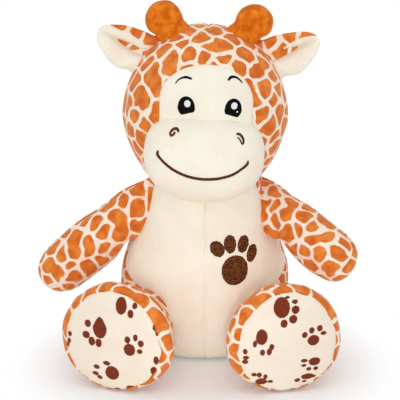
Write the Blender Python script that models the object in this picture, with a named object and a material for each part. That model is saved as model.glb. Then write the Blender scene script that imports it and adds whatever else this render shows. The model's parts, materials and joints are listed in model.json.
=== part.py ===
"""Sitting plush giraffe with a printed coat, cream belly, big muzzle and paw-print soles.

Metres, +Z up. The toy looks along -Y and its own left side is +X. The origin is the middle of the
flat seat, on the surface that the toy sits on. Soft limbs turn on their stuffed roots.
"""
import math

import bmesh
import bpy
from mathutils import Matrix, Vector

# Cloth, seams and clearances
CLOTH = 0.002
SEAM_GAP = 0.0003
FILL_GAP = 0.0008
RUNNING_GAP = 0.0003
OVERRUN = 0.02
FLOOR_FLAT = 0.0005

# Torso: a pear on a flat seat, closed above by a ball-shaped neck
HIP_HALF_WIDTH = 0.064
HIP_HALF_DEPTH = 0.0485
NECK_RADIUS = 0.0425
NECK_PIVOT_Z = 0.1221
SHOULDER_LEAN = math.radians(17)
SIDE_SEAM_ANGLE = math.radians(-12)
# Height, half width and half depth, as shares of the side's height and of the hips
SEAT_STATION_SHARES = (
    (0.0, 0.54, 0.56),
    (0.008, 0.67, 0.69),
    (0.031, 0.80, 0.81),
    (0.078, 0.90, 0.905),
    (0.157, 0.965, 0.965),
    (0.26, 1.0, 1.0),
    (0.37, 1.0, 1.0),
    (0.479, 0.985, 0.995),
)
# Height as a share of the side's height, then how far out from the neck towards the hips
SHOULDER_STATION_SHARES = (
    (0.592, 0.78, 0.80),
    (0.693, 0.58, 0.61),
    (0.805, 0.38, 0.42),
    (0.911, 0.185, 0.24),
)
BAG_STATIONS = 5
DOME_ROWS = 4
BELLY_SEGMENTS = 4
BACK_SEGMENTS = 5

# Neck pad: the wad of stuffing that the head turns and nods on
PAD_THICKNESS = 0.008
PAD_HALF_ANGLE = math.radians(45)
PAD_ROWS = 3

# Head
HEAD_HALF_WIDTH = 0.0615
HEAD_HALF_DEPTH = 0.057
HEAD_HALF_HEIGHT = 0.069
HEAD_SINK = 0.0528
HEAD_RISE = NECK_RADIUS + HEAD_HALF_HEIGHT - HEAD_SINK
HEAD_SET_BACK = -0.002
HEAD_SHIFT = -0.0024
HEAD_TAPER = 0.16
HEAD_TILT = math.radians(2.3)
ROUND_SEGMENTS = 20
HEAD_ROWS = 10

# Muzzle, with its own upper and lower outline
MUZZLE_HALF_WIDTH = 0.0435
MUZZLE_HALF_HEIGHT = 0.032
MUZZLE_DEPTH = 0.033
MUZZLE_DROP = 0.0027
MUZZLE_RISE = NECK_RADIUS - MUZZLE_DROP
MUZZLE_STANDOFF = 0.004
MUZZLE_ROOT_Y = -NECK_RADIUS - MUZZLE_STANDOFF
MUZZLE_SLEEVE = 0.030
MUZZLE_TOP_POWER = 2.9
MUZZLE_CHIN_POWER = 2.15
MUZZLE_CROWN_POWER = 2.3
MUZZLE_RING_SHARES = (0.0, 0.3, 0.55, 0.76, 0.91, 1.0)

# Forehead panel
FOREHEAD_HALF_WIDTH = 0.0342
FOREHEAD_FOOT_RISE = HEAD_RISE - 0.05 * HEAD_HALF_HEIGHT
FOREHEAD_SPRING_RISE = HEAD_RISE + 0.338 * HEAD_HALF_HEIGHT
FOREHEAD_TOP_RISE = HEAD_RISE + 0.706 * HEAD_HALF_HEIGHT
FOREHEAD_ROWS = 6
FOREHEAD_COLUMNS = 8

# Face stitching
STITCH_RISE = 0.0009
EYE_SHIFT = 0.0024
EYE_HALF_SPACING = 0.0167
EYE_RISE = HEAD_RISE + 0.30 * HEAD_HALF_HEIGHT
EYE_HALF_WIDTH = 0.0058
EYE_HALF_HEIGHT = 0.0067
EYE_FLAT_SHARE = 0.72
EYE_LINE_TURN = math.radians(-1.1)
EYE_SEGMENTS = 16
GLINT_HALF_WIDTH = 0.0018
GLINT_HALF_HEIGHT = 0.0023
GLINT_RISE = 0.0015
GLINT_SEGMENTS = 8
BROW_SHIFT = 0.0016
BROW_HALF_SPACING = 0.0185
BROW_RISE = HEAD_RISE + 0.583 * HEAD_HALF_HEIGHT
BROW_HALF_LENGTH = 0.0058
BROW_ARCH = 0.0032
BROW_WIDTH = 0.0013
BROW_STEPS = 6
NOSTRIL_SHIFT = 0.0011
NOSTRIL_HALF_SPACING = 0.0233
NOSTRIL_RISE = MUZZLE_RISE + 0.693 * MUZZLE_HALF_HEIGHT
NOSTRIL_RADIUS = 0.0028
NOSTRIL_WIDTH = 0.0014
NOSTRIL_HEIGHT_SHARE = 1.3
NOSTRIL_ARC = (math.radians(-70), math.radians(150))
NOSTRIL_STEPS = 8
SMILE_SHIFT = -0.0011
SMILE_HALF_LENGTH = 0.0319
SMILE_END_RISE = MUZZLE_RISE + 0.17 * MUZZLE_HALF_HEIGHT
SMILE_DROP = 0.0129
SMILE_WIDTH = 0.0017
SMILE_POWER = 1.5
SMILE_STEPS = 16
SMILE_TURN = math.radians(-3.6)
NOSTRIL_LINE_TURN = math.radians(-3)
PATCH_RING_SHARES = (0.0, 0.6, 1.0)
SPOT_RING_SHARES = (0.0, 1.0)

# Ears: two layers of cloth on a rounded root
EAR_LENGTH = 0.035
EAR_ROOT_HALF = 0.0145
EAR_BELLY = 0.0178
EAR_DROOP = 0.007
EAR_THICKNESS = 0.0044
EAR_CUP = 0.006
EAR_RISE = HEAD_RISE + 0.659 * HEAD_HALF_HEIGHT
EAR_COLUMNS = 4
EAR_TIP_POWER = 1.4
EAR_BELLY_SHARE = 0.27
EAR_EDGE_SHARE = 0.45
# Places along the ear: angles round its rounded root, then shares of its length
EAR_ROOT_ANGLES = tuple(math.radians(a) for a in (10, 35, 62))
EAR_REACH_SHARES = (0.0, 0.12, 0.28, 0.46, 0.64, 0.80, 0.92, 0.98)

# Horns: stuffed knobs
HORN_OFFSET = 0.0275
HORN_BALL_RADIUS = 0.0138
HORN_BALL_RISE = 0.0115
HORN_ROOT_RADIUS = 0.0085
HORN_SEGMENTS = 10
HORN_ROOT_START = math.radians(-65)
HORN_NECK_TURN = math.radians(4)
HORN_ROOT_STEPS = 3
HORN_BALL_STEPS = 5

# Arms
ARM_LENGTHS = {"left": 0.0855, "right": 0.0942}
ARM_HALF_WIDTH = 0.0188
ARM_HALF_DEPTH = 0.0181
ARM_DROOPS = {"left": math.radians(41.3), "right": math.radians(37.8)}
ARM_ROOT_Z = 0.1118
ARM_ROOT_Y = -0.010
ARM_ROOT_SPAN = 0.0442
ARM_SEGMENTS = 12
ROOT_SEARCH_STEPS = 24
ARM_REST_SWINGS = {"left": math.radians(50), "right": math.radians(1)}
# Place along the arm and half size there, as shares of its length and half width
ARM_STATION_SHARES = (
    (0.0, 0.66),
    (0.2, 0.86),
    (0.45, 1.0),
    (0.68, 1.04),
    (0.82, 0.97),
    (0.92, 0.76),
    (0.98, 0.40),
    (1.0, 0.0),
)

# Legs: a ball root at the hip, a swelling leg and a flat sole
LEG_LENGTH = 0.067
LEG_ROOT_RADIUS = 0.0225
HIP_Z = 0.036
HIP_X = 0.044
HIP_SUNK = 0.003
FOOT_HALF_WIDTH = 0.0425
FOOT_HALF_HEIGHT = 0.0400
LEG_SEGMENTS = 14
LEG_SPLAYS = {"left": math.radians(12.6), "right": math.radians(19.3)}
LEG_ROOT_ANGLES = tuple(math.radians(a) for a in (-45, -22, 0, 17, 32))
FOOT_EGG_SHARE = 0.08
# Place along the leg, half width, half height and lowering, as shares of the length and the foot
LEG_STATION_SHARES = (
    (0.26, 0.54, 0.55, 0.11),
    (0.40, 0.68, 0.69, 0.09),
    (0.58, 0.84, 0.85, 0.045),
    (0.73, 0.95, 0.955, 0.01),
    (0.85, 1.0, 1.0, 0.0),
    (0.94, 0.95, 0.98, 0.0),
    (1.0, 0.84, 0.93, 0.005),
)
SOLE_BULGE = 0.003
SOLE_RING_SHARES = (0.0, 0.45, 0.8, 1.0)

# Stitched paw on the chest: across, up, half width, half height, turn
PAW_X = 0.0219
PAW_Z = 0.0747
PAW_HALF_WIDTH = 0.0098
PAW_HALF_HEIGHT = 0.0112
PAW_TOE_HALF_WIDTH = 0.0040
PAW_TOE_HALF_HEIGHT = 0.0064
PAW_SEGMENTS = 16
PAW_TOE_SEGMENTS = 10
# Across and up from the pad, as shares of the pad's half sizes, with each toe's turn
PAW_TOE_SHARES = (
    ("paw_toe_1", -1.35, 1.44, math.radians(32)),
    ("paw_toe_2", -0.37, 1.78, math.radians(8)),
    ("paw_toe_3", 0.63, 1.70, math.radians(-8)),
    ("paw_toe_4", 1.30, 1.02, math.radians(-14)),
)

SIDES = {"left": 1, "right": -1}

# Colours, linear
PRINT_ORANGE = (0.62, 0.16, 0.03, 1.0)
CREAM = (0.90, 0.84, 0.70, 1.0)
HORN_ORANGE = (0.55, 0.16, 0.02, 1.0)
THREAD_BLACK = (0.010, 0.010, 0.010, 1.0)
THREAD_WHITE = (0.90, 0.90, 0.90, 1.0)
THREAD_BROWN = (0.10, 0.030, 0.010, 1.0)
FILL_WHITE = (0.85, 0.85, 0.83, 1.0)
BAG_GREY = (0.45, 0.45, 0.42, 1.0)


def clear_scene():
    for old in list(bpy.data.objects):
        bpy.data.objects.remove(old, do_unlink=True)


def make_material(name, colour, roughness):
    material = bpy.data.materials.new(name)
    material.use_nodes = True
    shader = material.node_tree.nodes["Principled BSDF"]
    shader.inputs["Base Color"].default_value = colour
    shader.inputs["Roughness"].default_value = roughness
    shader.inputs["Metallic"].default_value = 0.0
    return material


def place_object(name, bm, material, parent):
    """Turn a bmesh into a named object, closed, with its faces out."""
    bmesh.ops.remove_doubles(bm, verts=bm.verts, dist=SEAM_GAP / 100)
    bmesh.ops.recalc_face_normals(bm, faces=bm.faces)
    mesh = bpy.data.meshes.new(name)
    bm.to_mesh(mesh)
    bm.free()
    mesh.shade_smooth()
    obj = bpy.data.objects.new(name, mesh)
    bpy.context.collection.objects.link(obj)
    if material:
        mesh.materials.append(material)
    if parent:
        obj.parent = parent
    return obj


def place_empty(name, place, turn, parent=None):
    empty = bpy.data.objects.new(name, None)
    bpy.context.collection.objects.link(empty)
    empty.parent = parent
    empty.matrix_local = Matrix.Translation(place) @ turn
    return empty


def bridge(bm, row, next_row, wrap):
    """Faces between two rows of vertices."""
    count = len(row)
    for i in range(count if wrap else count - 1):
        j = (i + 1) % count
        bm.faces.new((row[i], row[j], next_row[j], next_row[i]))


def is_pole(points):
    """Whether a row of points has shrunk to one place."""
    return (Vector(points[0]) - Vector(points[len(points) // 2])).length < SEAM_GAP / 10


def cloth(name, outer, inner, material, parent, wrap=False):
    """A closed sheet of cloth between an outer and an inner grid of points."""
    bm = bmesh.new()
    top = [[bm.verts.new(p) for p in row] for row in outer]
    low = [[bm.verts.new(p) for p in row] for row in inner]
    for k in range(len(top) - 1):
        bridge(bm, top[k], top[k + 1], wrap)
        bridge(bm, low[k + 1], low[k], wrap)
    for k in (0, -1):
        if not is_pole(outer[k]):
            bridge(bm, top[k], low[k], wrap)
    if not wrap:
        for side in (0, -1):
            bridge(bm, [row[side] for row in top], [row[side] for row in low], False)
    return place_object(name, bm, material, parent)


def stuffing(name, rings, material, parent):
    """A closed solid through rings of points. A ring at one point is a pole."""
    bm = bmesh.new()
    rows = [[bm.verts.new(p) for p in ring] for ring in rings]
    for k in range(len(rows) - 1):
        bridge(bm, rows[k], rows[k + 1], True)
    for ring, row in ((rings[0], rows[0]), (rings[-1], rows[-1])):
        if not is_pole(ring):
            bm.faces.new(row)
    return place_object(name, bm, material, parent)


def make_cutter(obj):
    obj.hide_render = True
    obj.display_type = "WIRE"
    return obj


def cut(obj, cutter, operation="DIFFERENCE"):
    boolean = obj.modifiers.new("cut_" + cutter.name, "BOOLEAN")
    boolean.operation = operation
    boolean.solver = "EXACT"
    boolean.object = cutter


def spread(start, end, count):
    return [start + (end - start) * i / count for i in range(count + 1)]


def clear_radius(radius, segments):
    """The radius of a faceted hollow that a ball can turn in."""
    return (radius + RUNNING_GAP) / math.cos(math.pi / segments) ** 2


def ball_rings(centre, radius, segments):
    rings = []
    for latitude in spread(-math.pi / 2, math.pi / 2, segments // 2):
        ring_radius = radius * math.cos(latitude)
        rings.append([
            Vector(centre) + Vector((ring_radius * math.cos(a), ring_radius * math.sin(a),
                                     radius * math.sin(latitude)))
            for a in spread(0, 2 * math.pi, segments)[:-1]
        ])
    return rings


# Torso surface


def torso_profile():
    """Rows of height, half width and half depth, from the seat's rim up to the top of the neck."""
    side_top = NECK_PIVOT_Z + NECK_RADIUS * math.sin(SHOULDER_LEAN)
    neck = NECK_RADIUS * math.cos(SHOULDER_LEAN)
    rows = [(side_top * z, HIP_HALF_WIDTH * w, HIP_HALF_DEPTH * d)
            for z, w, d in SEAT_STATION_SHARES]
    rows += [(side_top * z, neck + (HIP_HALF_WIDTH - neck) * w, neck + (HIP_HALF_DEPTH - neck) * d)
             for z, w, d in SHOULDER_STATION_SHARES]
    for rise in spread(SHOULDER_LEAN, math.pi / 2, DOME_ROWS):
        radius = NECK_RADIUS * math.cos(rise)
        rows.append((NECK_PIVOT_Z + NECK_RADIUS * math.sin(rise), radius, radius))
    return rows


def inset_profile(rows, inset):
    """The rows moved inwards, square to the mean outline."""
    moved = []
    for k, (z, width, depth) in enumerate(rows):
        low = rows[max(k - 1, 0)]
        high = rows[min(k + 1, len(rows) - 1)]
        along = Vector(((high[1] + high[2] - low[1] - low[2]) / 2, high[0] - low[0])).normalized()
        out_flat, out_up = along.y, -along.x
        if k == len(rows) - 1:
            out_flat, out_up = 0.0, 1.0
        moved.append((z - inset * out_up, max(width - inset * out_flat, 0.0),
                      max(depth - inset * out_flat, 0.0)))
    return moved


def torso_size_at(z):
    """Half width and half depth of the torso at a height."""
    rows = torso_profile()
    for low, high in zip(rows, rows[1:]):
        if low[0] <= z <= high[0]:
            share = (z - low[0]) / (high[0] - low[0])
            return tuple(low[i] + (high[i] - low[i]) * share for i in (1, 2))
    return rows[-1][1:]


def torso_front(x, z):
    """The y of the torso's front at a place across and up."""
    width, depth = torso_size_at(z)
    return -depth * math.sqrt(max(1 - (x / width) ** 2, 0.0))


def torso_angles():
    """Angles round the torso, starting at the front seam and going over the toy's left."""
    front = spread(-math.pi / 2, SIDE_SEAM_ANGLE, BELLY_SEGMENTS)
    back = spread(SIDE_SEAM_ANGLE, math.pi / 2, BACK_SEGMENTS)
    half = front + back[1:]
    mirrored = [math.pi - a for a in reversed(half[1:-1])]
    return half + mirrored


def torso_grid(rows, angles, start_seam=0.0, end_seam=0.0):
    """Points over the torso, drawn back from the two seams by half of their gap."""
    grid = []
    for z, width, depth in rows:
        row = []
        for k, angle in enumerate(angles):
            radius = max((width + depth) / 2, SEAM_GAP)
            shift = 0.0
            if k == 0:
                shift = start_seam / radius
            if k == len(angles) - 1:
                shift = -end_seam / radius
            if width == 0.0:
                shift = 0.0
            row.append(Vector((width * math.cos(angle + shift), depth * math.sin(angle + shift), z)))
        grid.append(row)
    return grid


def build_torso(mats):
    profile = torso_profile()
    inner = inset_profile(profile, CLOTH)
    fill = inset_profile(profile, CLOTH + SEAM_GAP)
    half_gap = SEAM_GAP / 2
    skins = []
    for side, sign in SIDES.items():
        front = spread(-math.pi / 2, SIDE_SEAM_ANGLE, BELLY_SEGMENTS)
        back = spread(SIDE_SEAM_ANGLE, math.pi / 2, BACK_SEGMENTS)
        for label, angles, mat in (("belly", front, mats["cream"]), ("back", back, mats["print"])):
            grids = []
            for rows in (profile, inner):
                grid = torso_grid(rows, angles, half_gap, half_gap)
                apex = rows[-1][0]
                grid[-1] = [Vector((sign * half_gap, 0.0, apex))] * len(angles)
                grids.append([[Vector((sign * p.x, p.y, p.z)) for p in row] for row in grid[:-1]])
                grids[-1].append(grid[-1])
            skins.append(cloth(label + "_" + side, grids[0], grids[1], mat, None))
    angles = torso_angles()
    rings = torso_grid(fill, angles)
    bag_top = [Vector((p.x * (1 - CLOTH / HIP_HALF_WIDTH), p.y * (1 - CLOTH / HIP_HALF_WIDTH),
                       p.z - 2 * SEAM_GAP)) for p in rings[BAG_STATIONS - 1]]
    bag = stuffing("pellet_bag", rings[:BAG_STATIONS - 1] + [bag_top], mats["bag"], None)
    body = stuffing("torso_stuffing", rings[BAG_STATIONS - 1:], mats["fill"], None)
    seat_rings = []
    for z, width, depth in (profile[0], inner[0]):
        trim = 2 * SEAM_GAP
        seat_rings.append([Vector(((width - trim) * math.cos(a), (depth - trim) * math.sin(a), z))
                           for a in angles])
    seat_rings[1] = [Vector((p.x, p.y, CLOTH)) for p in seat_rings[1]]
    stuffing("seat_panel", seat_rings, mats["cream"], None)
    return skins + [bag, body]


# Head surface, up from the neck's pivot and across from the head's middle


def head_narrowing(up):
    """The share of its width that the head keeps at a height, as a share of its half height."""
    return 1 - HEAD_TAPER * max(-up, 0.0)


def head_grid(inset, angles):
    """Rings over the head's egg, from its bottom pole to its top pole."""
    grid = []
    for latitude in spread(-math.pi / 2, math.pi / 2, HEAD_ROWS):
        flat = max(math.cos(latitude), 0.0)
        if abs(abs(latitude) - math.pi / 2) < SEAM_GAP:
            flat = 0.0
        flat *= head_narrowing(math.sin(latitude))
        z = HEAD_RISE + (HEAD_HALF_HEIGHT - inset) * math.sin(latitude)
        grid.append([Vector(((HEAD_HALF_WIDTH - inset) * flat * math.cos(a),
                             HEAD_SET_BACK + (HEAD_HALF_DEPTH - inset) * flat * math.sin(a), z))
                     for a in angles])
    return grid


def head_front(x, rise, inset=0.0):
    """The y of the head's front at a place across and up from the neck's pivot."""
    up = (rise - HEAD_RISE) / (HEAD_HALF_HEIGHT - inset)
    narrow = head_narrowing(up)
    across = x / ((HEAD_HALF_WIDTH - inset) * narrow)
    flat = math.sqrt(max(1 - across ** 2 - up ** 2, 0.0))
    return HEAD_SET_BACK - (HEAD_HALF_DEPTH - inset) * narrow * flat


def head_side(rise):
    """The half width of the head at a height over the neck's pivot."""
    return HEAD_HALF_WIDTH * math.sqrt(max(1 - ((rise - HEAD_RISE) / HEAD_HALF_HEIGHT) ** 2, 0.0))


def head_normal(x, rise):
    """The head's outward direction at a place on its silhouette."""
    return Vector((x / HEAD_HALF_WIDTH ** 2, 0.0, (rise - HEAD_RISE) / HEAD_HALF_HEIGHT ** 2)).normalized()


def muzzle_reach(across, up, inset=0.0):
    """How far a place lies from the muzzle's middle, as a share of its outline."""
    power = MUZZLE_TOP_POWER if up > 0 else MUZZLE_CHIN_POWER
    return (abs(across / (MUZZLE_HALF_WIDTH - inset)) ** power
            + abs(up / (MUZZLE_HALF_HEIGHT - inset)) ** power) ** (1 / power)


def muzzle_crown(share, inset=0.0):
    power = MUZZLE_CROWN_POWER
    return (MUZZLE_DEPTH - inset) * max(1 - min(share, 1.0) ** power, 0.0) ** (1 / power)


def muzzle_front(x, rise):
    """The y of the muzzle's front at a place across and up from the neck's pivot."""
    return MUZZLE_ROOT_Y - muzzle_crown(muzzle_reach(x, rise - MUZZLE_RISE))


def muzzle_grid(inset, sleeve):
    """Rings from the tip of the muzzle back to the end of its sleeve."""
    angles = spread(0, 2 * math.pi, ROUND_SEGMENTS)[:-1]
    outline = []
    for angle in angles:
        across, up = math.cos(angle), math.sin(angle)
        reach = muzzle_reach(across, up, inset)
        outline.append((across / reach, up / reach))
    grid = []
    for share in MUZZLE_RING_SHARES:
        y = MUZZLE_ROOT_Y - muzzle_crown(share, inset)
        grid.append([Vector((x * share, y, MUZZLE_RISE + z * share)) for x, z in outline])
    grid.append([Vector((x, MUZZLE_ROOT_Y + sleeve, MUZZLE_RISE + z)) for x, z in outline])
    return grid


def forehead_half_width(rise, spare=0.0):
    """Half width of the arched forehead panel at a height over the neck's pivot."""
    crown = FOREHEAD_TOP_RISE + spare - FOREHEAD_SPRING_RISE
    up = max(rise - FOREHEAD_SPRING_RISE, 0.0) / crown
    return (FOREHEAD_HALF_WIDTH + spare) * math.sqrt(max(1 - up ** 2, 0.0))


def forehead_heights(spare=0.0):
    """Heights that step evenly round the arch."""
    crown = FOREHEAD_TOP_RISE + spare - FOREHEAD_SPRING_RISE
    arch = [FOREHEAD_SPRING_RISE + crown * math.sin(a)
            for a in spread(0, math.pi / 2, FOREHEAD_ROWS)]
    return spread(FOREHEAD_FOOT_RISE - spare, FOREHEAD_SPRING_RISE, FOREHEAD_ROWS // 2)[:-1] + arch


def build_forehead(mats, middle):
    grids = []
    for inset in (0.0, CLOTH - SEAM_GAP):
        grid = []
        for rise in forehead_heights():
            half = forehead_half_width(rise)
            grid.append([Vector((x, head_front(x, rise, inset), rise))
                         for x in spread(-half, half, FOREHEAD_COLUMNS)])
        grids.append(grid)
    return cloth("forehead_panel", grids[0], grids[1], mats["cream"], middle)


def forehead_cutter(middle):
    """A prism of the panel's arch, a seam wider all round."""
    heights = forehead_heights(SEAM_GAP)
    left = [(forehead_half_width(h, SEAM_GAP), h) for h in heights]
    right = [(-x, h) for x, h in reversed(left[:-1])]
    rings = [[Vector((x, y, h)) for x, h in left + right]
             for y in (HEAD_SET_BACK - HEAD_HALF_DEPTH - OVERRUN, HEAD_SET_BACK - HEAD_HALF_DEPTH / 3)]
    return make_cutter(stuffing("forehead_cutter", rings, None, middle))


def build_head(mats, pivot, middle):
    half_turn = ROUND_SEGMENTS // 2
    all_angles = spread(-math.pi / 2, 3 * math.pi / 2, ROUND_SEGMENTS)[:-1]
    neck_hollow = make_cutter(stuffing(
        "neck_cutter", ball_rings((0, 0, 0), clear_radius(NECK_RADIUS, ROUND_SEGMENTS), ROUND_SEGMENTS),
        None, pivot))
    pad_hollow = make_cutter(stuffing(
        "pad_cutter", ball_rings((0, 0, 0), clear_radius(pad_outer(), ROUND_SEGMENTS), ROUND_SEGMENTS),
        None, pivot))
    muzzle_hollow = make_cutter(stuffing(
        "muzzle_cutter", muzzle_grid(-SEAM_GAP, MUZZLE_SLEEVE), None, middle))
    egg = make_cutter(stuffing("head_cutter", head_grid(-SEAM_GAP, all_angles), None, middle))
    core = make_cutter(stuffing("core_cutter", head_grid(CLOTH, all_angles), None, middle))
    arch = forehead_cutter(middle)

    skins = []
    for side, sign in SIDES.items():
        angles = spread(-math.pi / 2, math.pi / 2, half_turn)
        grids = []
        for inset in (0.0, CLOTH):
            grid = head_grid(inset, angles)
            grids.append([[Vector((sign * max(p.x, SEAM_GAP / 2), p.y, p.z)) for p in row]
                          for row in grid])
        skin = cloth("head_" + side, grids[0], grids[1], mats["print"], middle)
        cut(skin, arch)
        cut(skin, muzzle_hollow)
        cut(skin, neck_hollow)
        skins.append(skin)

    forehead = build_forehead(mats, middle)
    cut(forehead, muzzle_hollow)

    fill = stuffing("head_stuffing", head_grid(CLOTH + SEAM_GAP, all_angles), mats["fill"], middle)
    cut(fill, pad_hollow)

    muzzle = cloth("muzzle", muzzle_grid(0.0, MUZZLE_SLEEVE), muzzle_grid(CLOTH, MUZZLE_SLEEVE),
                   mats["cream"], middle, wrap=True)
    cut(egg, neck_hollow, "UNION")
    cut(muzzle, egg)
    wad = stuffing("muzzle_stuffing", muzzle_grid(CLOTH + SEAM_GAP, MUZZLE_SLEEVE), mats["fill"], middle)
    cut(wad, core)
    cut(wad, pad_hollow)
    return skins + [fill]


def pad_outer():
    return clear_radius(NECK_RADIUS, ROUND_SEGMENTS) + PAD_THICKNESS


def build_neck_pad(mats, pivot):
    """A dished wad between the neck's ball and the hollow under the head."""
    angles = spread(0, 2 * math.pi, ROUND_SEGMENTS)[:-1]
    grids = []
    for radius in (pad_outer(), clear_radius(NECK_RADIUS, ROUND_SEGMENTS)):
        grid = []
        for tilt in spread(PAD_HALF_ANGLE, 0.0, PAD_ROWS):
            grid.append([Vector((radius * math.sin(tilt) * math.cos(a),
                                 radius * math.sin(tilt) * math.sin(a), radius * math.cos(tilt)))
                         for a in angles])
        grids.append(grid)
    bm = bmesh.new()
    top, low = ([[bm.verts.new(p) for p in row] for row in grid] for grid in grids)
    for k in range(PAD_ROWS):
        bridge(bm, top[k], top[k + 1], True)
        bridge(bm, low[k + 1], low[k], True)
    bridge(bm, low[0], top[0], True)
    return place_object("neck_stuffing", bm, mats["fill"], pivot)


# Stitching that lies on a curved front


def badge(name, outline, surface, lift, thickness, shares, material, parent):
    """A raised patch of stitches inside an outline of places across and up."""
    centre_x = sum(p[0] for p in outline) / len(outline)
    centre_z = sum(p[1] for p in outline) / len(outline)
    grids = []
    for height in (lift + thickness, lift):
        grid = []
        for share in shares:
            row = []
            for x, z in outline:
                place_x = centre_x + (x - centre_x) * share
                place_z = centre_z + (z - centre_z) * share
                row.append(Vector((place_x, surface(place_x, place_z) - height, place_z)))
            grid.append(row)
        grids.append(grid)
    bm = bmesh.new()
    top, low = ([[bm.verts.new(p) for p in row] for row in grid] for grid in grids)
    for k in range(len(shares) - 1):
        bridge(bm, top[k], top[k + 1], True)
        bridge(bm, low[k + 1], low[k], True)
    bridge(bm, top[-1], low[-1], True)
    return place_object(name, bm, material, parent)


def ribbon(name, places, width, surface, material, parent):
    """A raised line of stitches along places across and up."""
    grids = []
    for height in (SEAM_GAP + STITCH_RISE, SEAM_GAP):
        sides = [[], []]
        for k, (x, z) in enumerate(places):
            before = places[max(k - 1, 0)]
            after = places[min(k + 1, len(places) - 1)]
            along = Vector((after[0] - before[0], after[1] - before[1])).normalized()
            for edge, sign in zip(sides, (1, -1)):
                side_x = x - sign * along.y * width / 2
                side_z = z + sign * along.x * width / 2
                edge.append(Vector((side_x, surface(side_x, side_z) - height, side_z)))
        grids.append(sides)
    return cloth(name, grids[0], grids[1], material, parent)


def ellipse_outline(centre, half_width, half_height, turn, count):
    places = []
    for angle in spread(0, 2 * math.pi, count)[:-1]:
        x = half_width * math.cos(angle)
        z = half_height * math.sin(angle)
        places.append((centre[0] + x * math.cos(turn) - z * math.sin(turn),
                       centre[1] + x * math.sin(turn) + z * math.cos(turn)))
    return places


def turned(place, centre, angle):
    """A place across and up, turned round a centre."""
    x, z = place[0] - centre[0], place[1] - centre[1]
    return (centre[0] + x * math.cos(angle) - z * math.sin(angle),
            centre[1] + x * math.sin(angle) + z * math.cos(angle))


def eye_outline(centre, side):
    """A domed eye whose foot is cut off on a slant, lower on the outside."""
    places = []
    for angle in spread(0, 2 * math.pi, EYE_SEGMENTS)[:-1]:
        x = EYE_HALF_WIDTH * math.cos(angle)
        floor = -EYE_HALF_HEIGHT * (EYE_FLAT_SHARE + (1 - EYE_FLAT_SHARE) * side * x / EYE_HALF_WIDTH)
        z = max(EYE_HALF_HEIGHT * math.sin(angle), floor)
        if angle > math.pi:
            x = x * (1 + (1 - EYE_FLAT_SHARE) / 4)
        places.append((centre[0] + x, centre[1] + z))
    return places


def build_face(mats, middle):
    eye_centre = (0.0, EYE_RISE)
    for side, sign in SIDES.items():
        place = turned((EYE_SHIFT + sign * EYE_HALF_SPACING, EYE_RISE), eye_centre, EYE_LINE_TURN)
        badge("eye_" + side, eye_outline(place, sign), head_front, SEAM_GAP, STITCH_RISE,
              PATCH_RING_SHARES, mats["black"], middle)
        glint = ellipse_outline((place[0], place[1] + GLINT_RISE), GLINT_HALF_WIDTH,
                                GLINT_HALF_HEIGHT, 0.0, GLINT_SEGMENTS)
        badge("eye_glint_" + side, glint, head_front, 2 * SEAM_GAP + STITCH_RISE, STITCH_RISE / 2,
              SPOT_RING_SHARES, mats["white"], middle)
        brow = [(BROW_SHIFT + sign * BROW_HALF_SPACING + BROW_HALF_LENGTH * t,
                 BROW_RISE - BROW_ARCH * t * t - sign * BROW_ARCH * t / 3)
                for t in spread(-1.0, 1.0, BROW_STEPS)]
        brow = [turned(p, eye_centre, EYE_LINE_TURN) for p in brow]
        ribbon("brow_" + side, brow, BROW_WIDTH, head_front, mats["black"], middle)
        nose = turned((NOSTRIL_SHIFT + sign * NOSTRIL_HALF_SPACING, NOSTRIL_RISE), (0.0, NOSTRIL_RISE),
                      NOSTRIL_LINE_TURN)
        comma = []
        for angle in spread(NOSTRIL_ARC[0], NOSTRIL_ARC[1], NOSTRIL_STEPS):
            comma.append((nose[0] + sign * NOSTRIL_RADIUS * math.cos(angle),
                          nose[1] + NOSTRIL_HEIGHT_SHARE * NOSTRIL_RADIUS * math.sin(angle)))
        ribbon("nostril_" + side, comma, NOSTRIL_WIDTH, muzzle_front, mats["brown"], middle)
    smile = [turned((SMILE_SHIFT + SMILE_HALF_LENGTH * math.sin(t),
                     SMILE_END_RISE - SMILE_DROP * max(math.cos(t), 0.0) ** SMILE_POWER),
                    (0.0, SMILE_END_RISE - SMILE_DROP), SMILE_TURN)
             for t in spread(-math.pi / 2, math.pi / 2, SMILE_STEPS)]
    ribbon("smile", smile, SMILE_WIDTH, muzzle_front, mats["brown"], middle)


def build_paw(mats):
    pad = ellipse_outline((PAW_X, PAW_Z), PAW_HALF_WIDTH, PAW_HALF_HEIGHT, 0.0, PAW_SEGMENTS)
    badge("paw_pad", pad, torso_front, SEAM_GAP, STITCH_RISE, PATCH_RING_SHARES, mats["brown"], None)
    for name, across, up, turn in PAW_TOE_SHARES:
        centre = (PAW_X + across * PAW_HALF_WIDTH, PAW_Z + up * PAW_HALF_HEIGHT)
        toe = ellipse_outline(centre, PAW_TOE_HALF_WIDTH, PAW_TOE_HALF_HEIGHT, turn, PAW_TOE_SEGMENTS)
        badge(name, toe, torso_front, SEAM_GAP, STITCH_RISE, SPOT_RING_SHARES, mats["brown"], None)


# Ears and horns


def ear_root(side):
    """Place of the ear's hinge line over the neck's pivot, and the ear's own directions."""
    sign = SIDES[side]
    x = head_side(EAR_RISE)
    out = head_normal(x, EAR_RISE)
    clear = EAR_THICKNESS / 2 + RUNNING_GAP
    place = Vector((x, HEAD_SET_BACK, EAR_RISE)) + out * clear
    up = Vector((-out.z, 0.0, out.x))
    place.x *= sign
    out.x *= sign
    up.x *= sign
    return place, out, up


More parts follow.
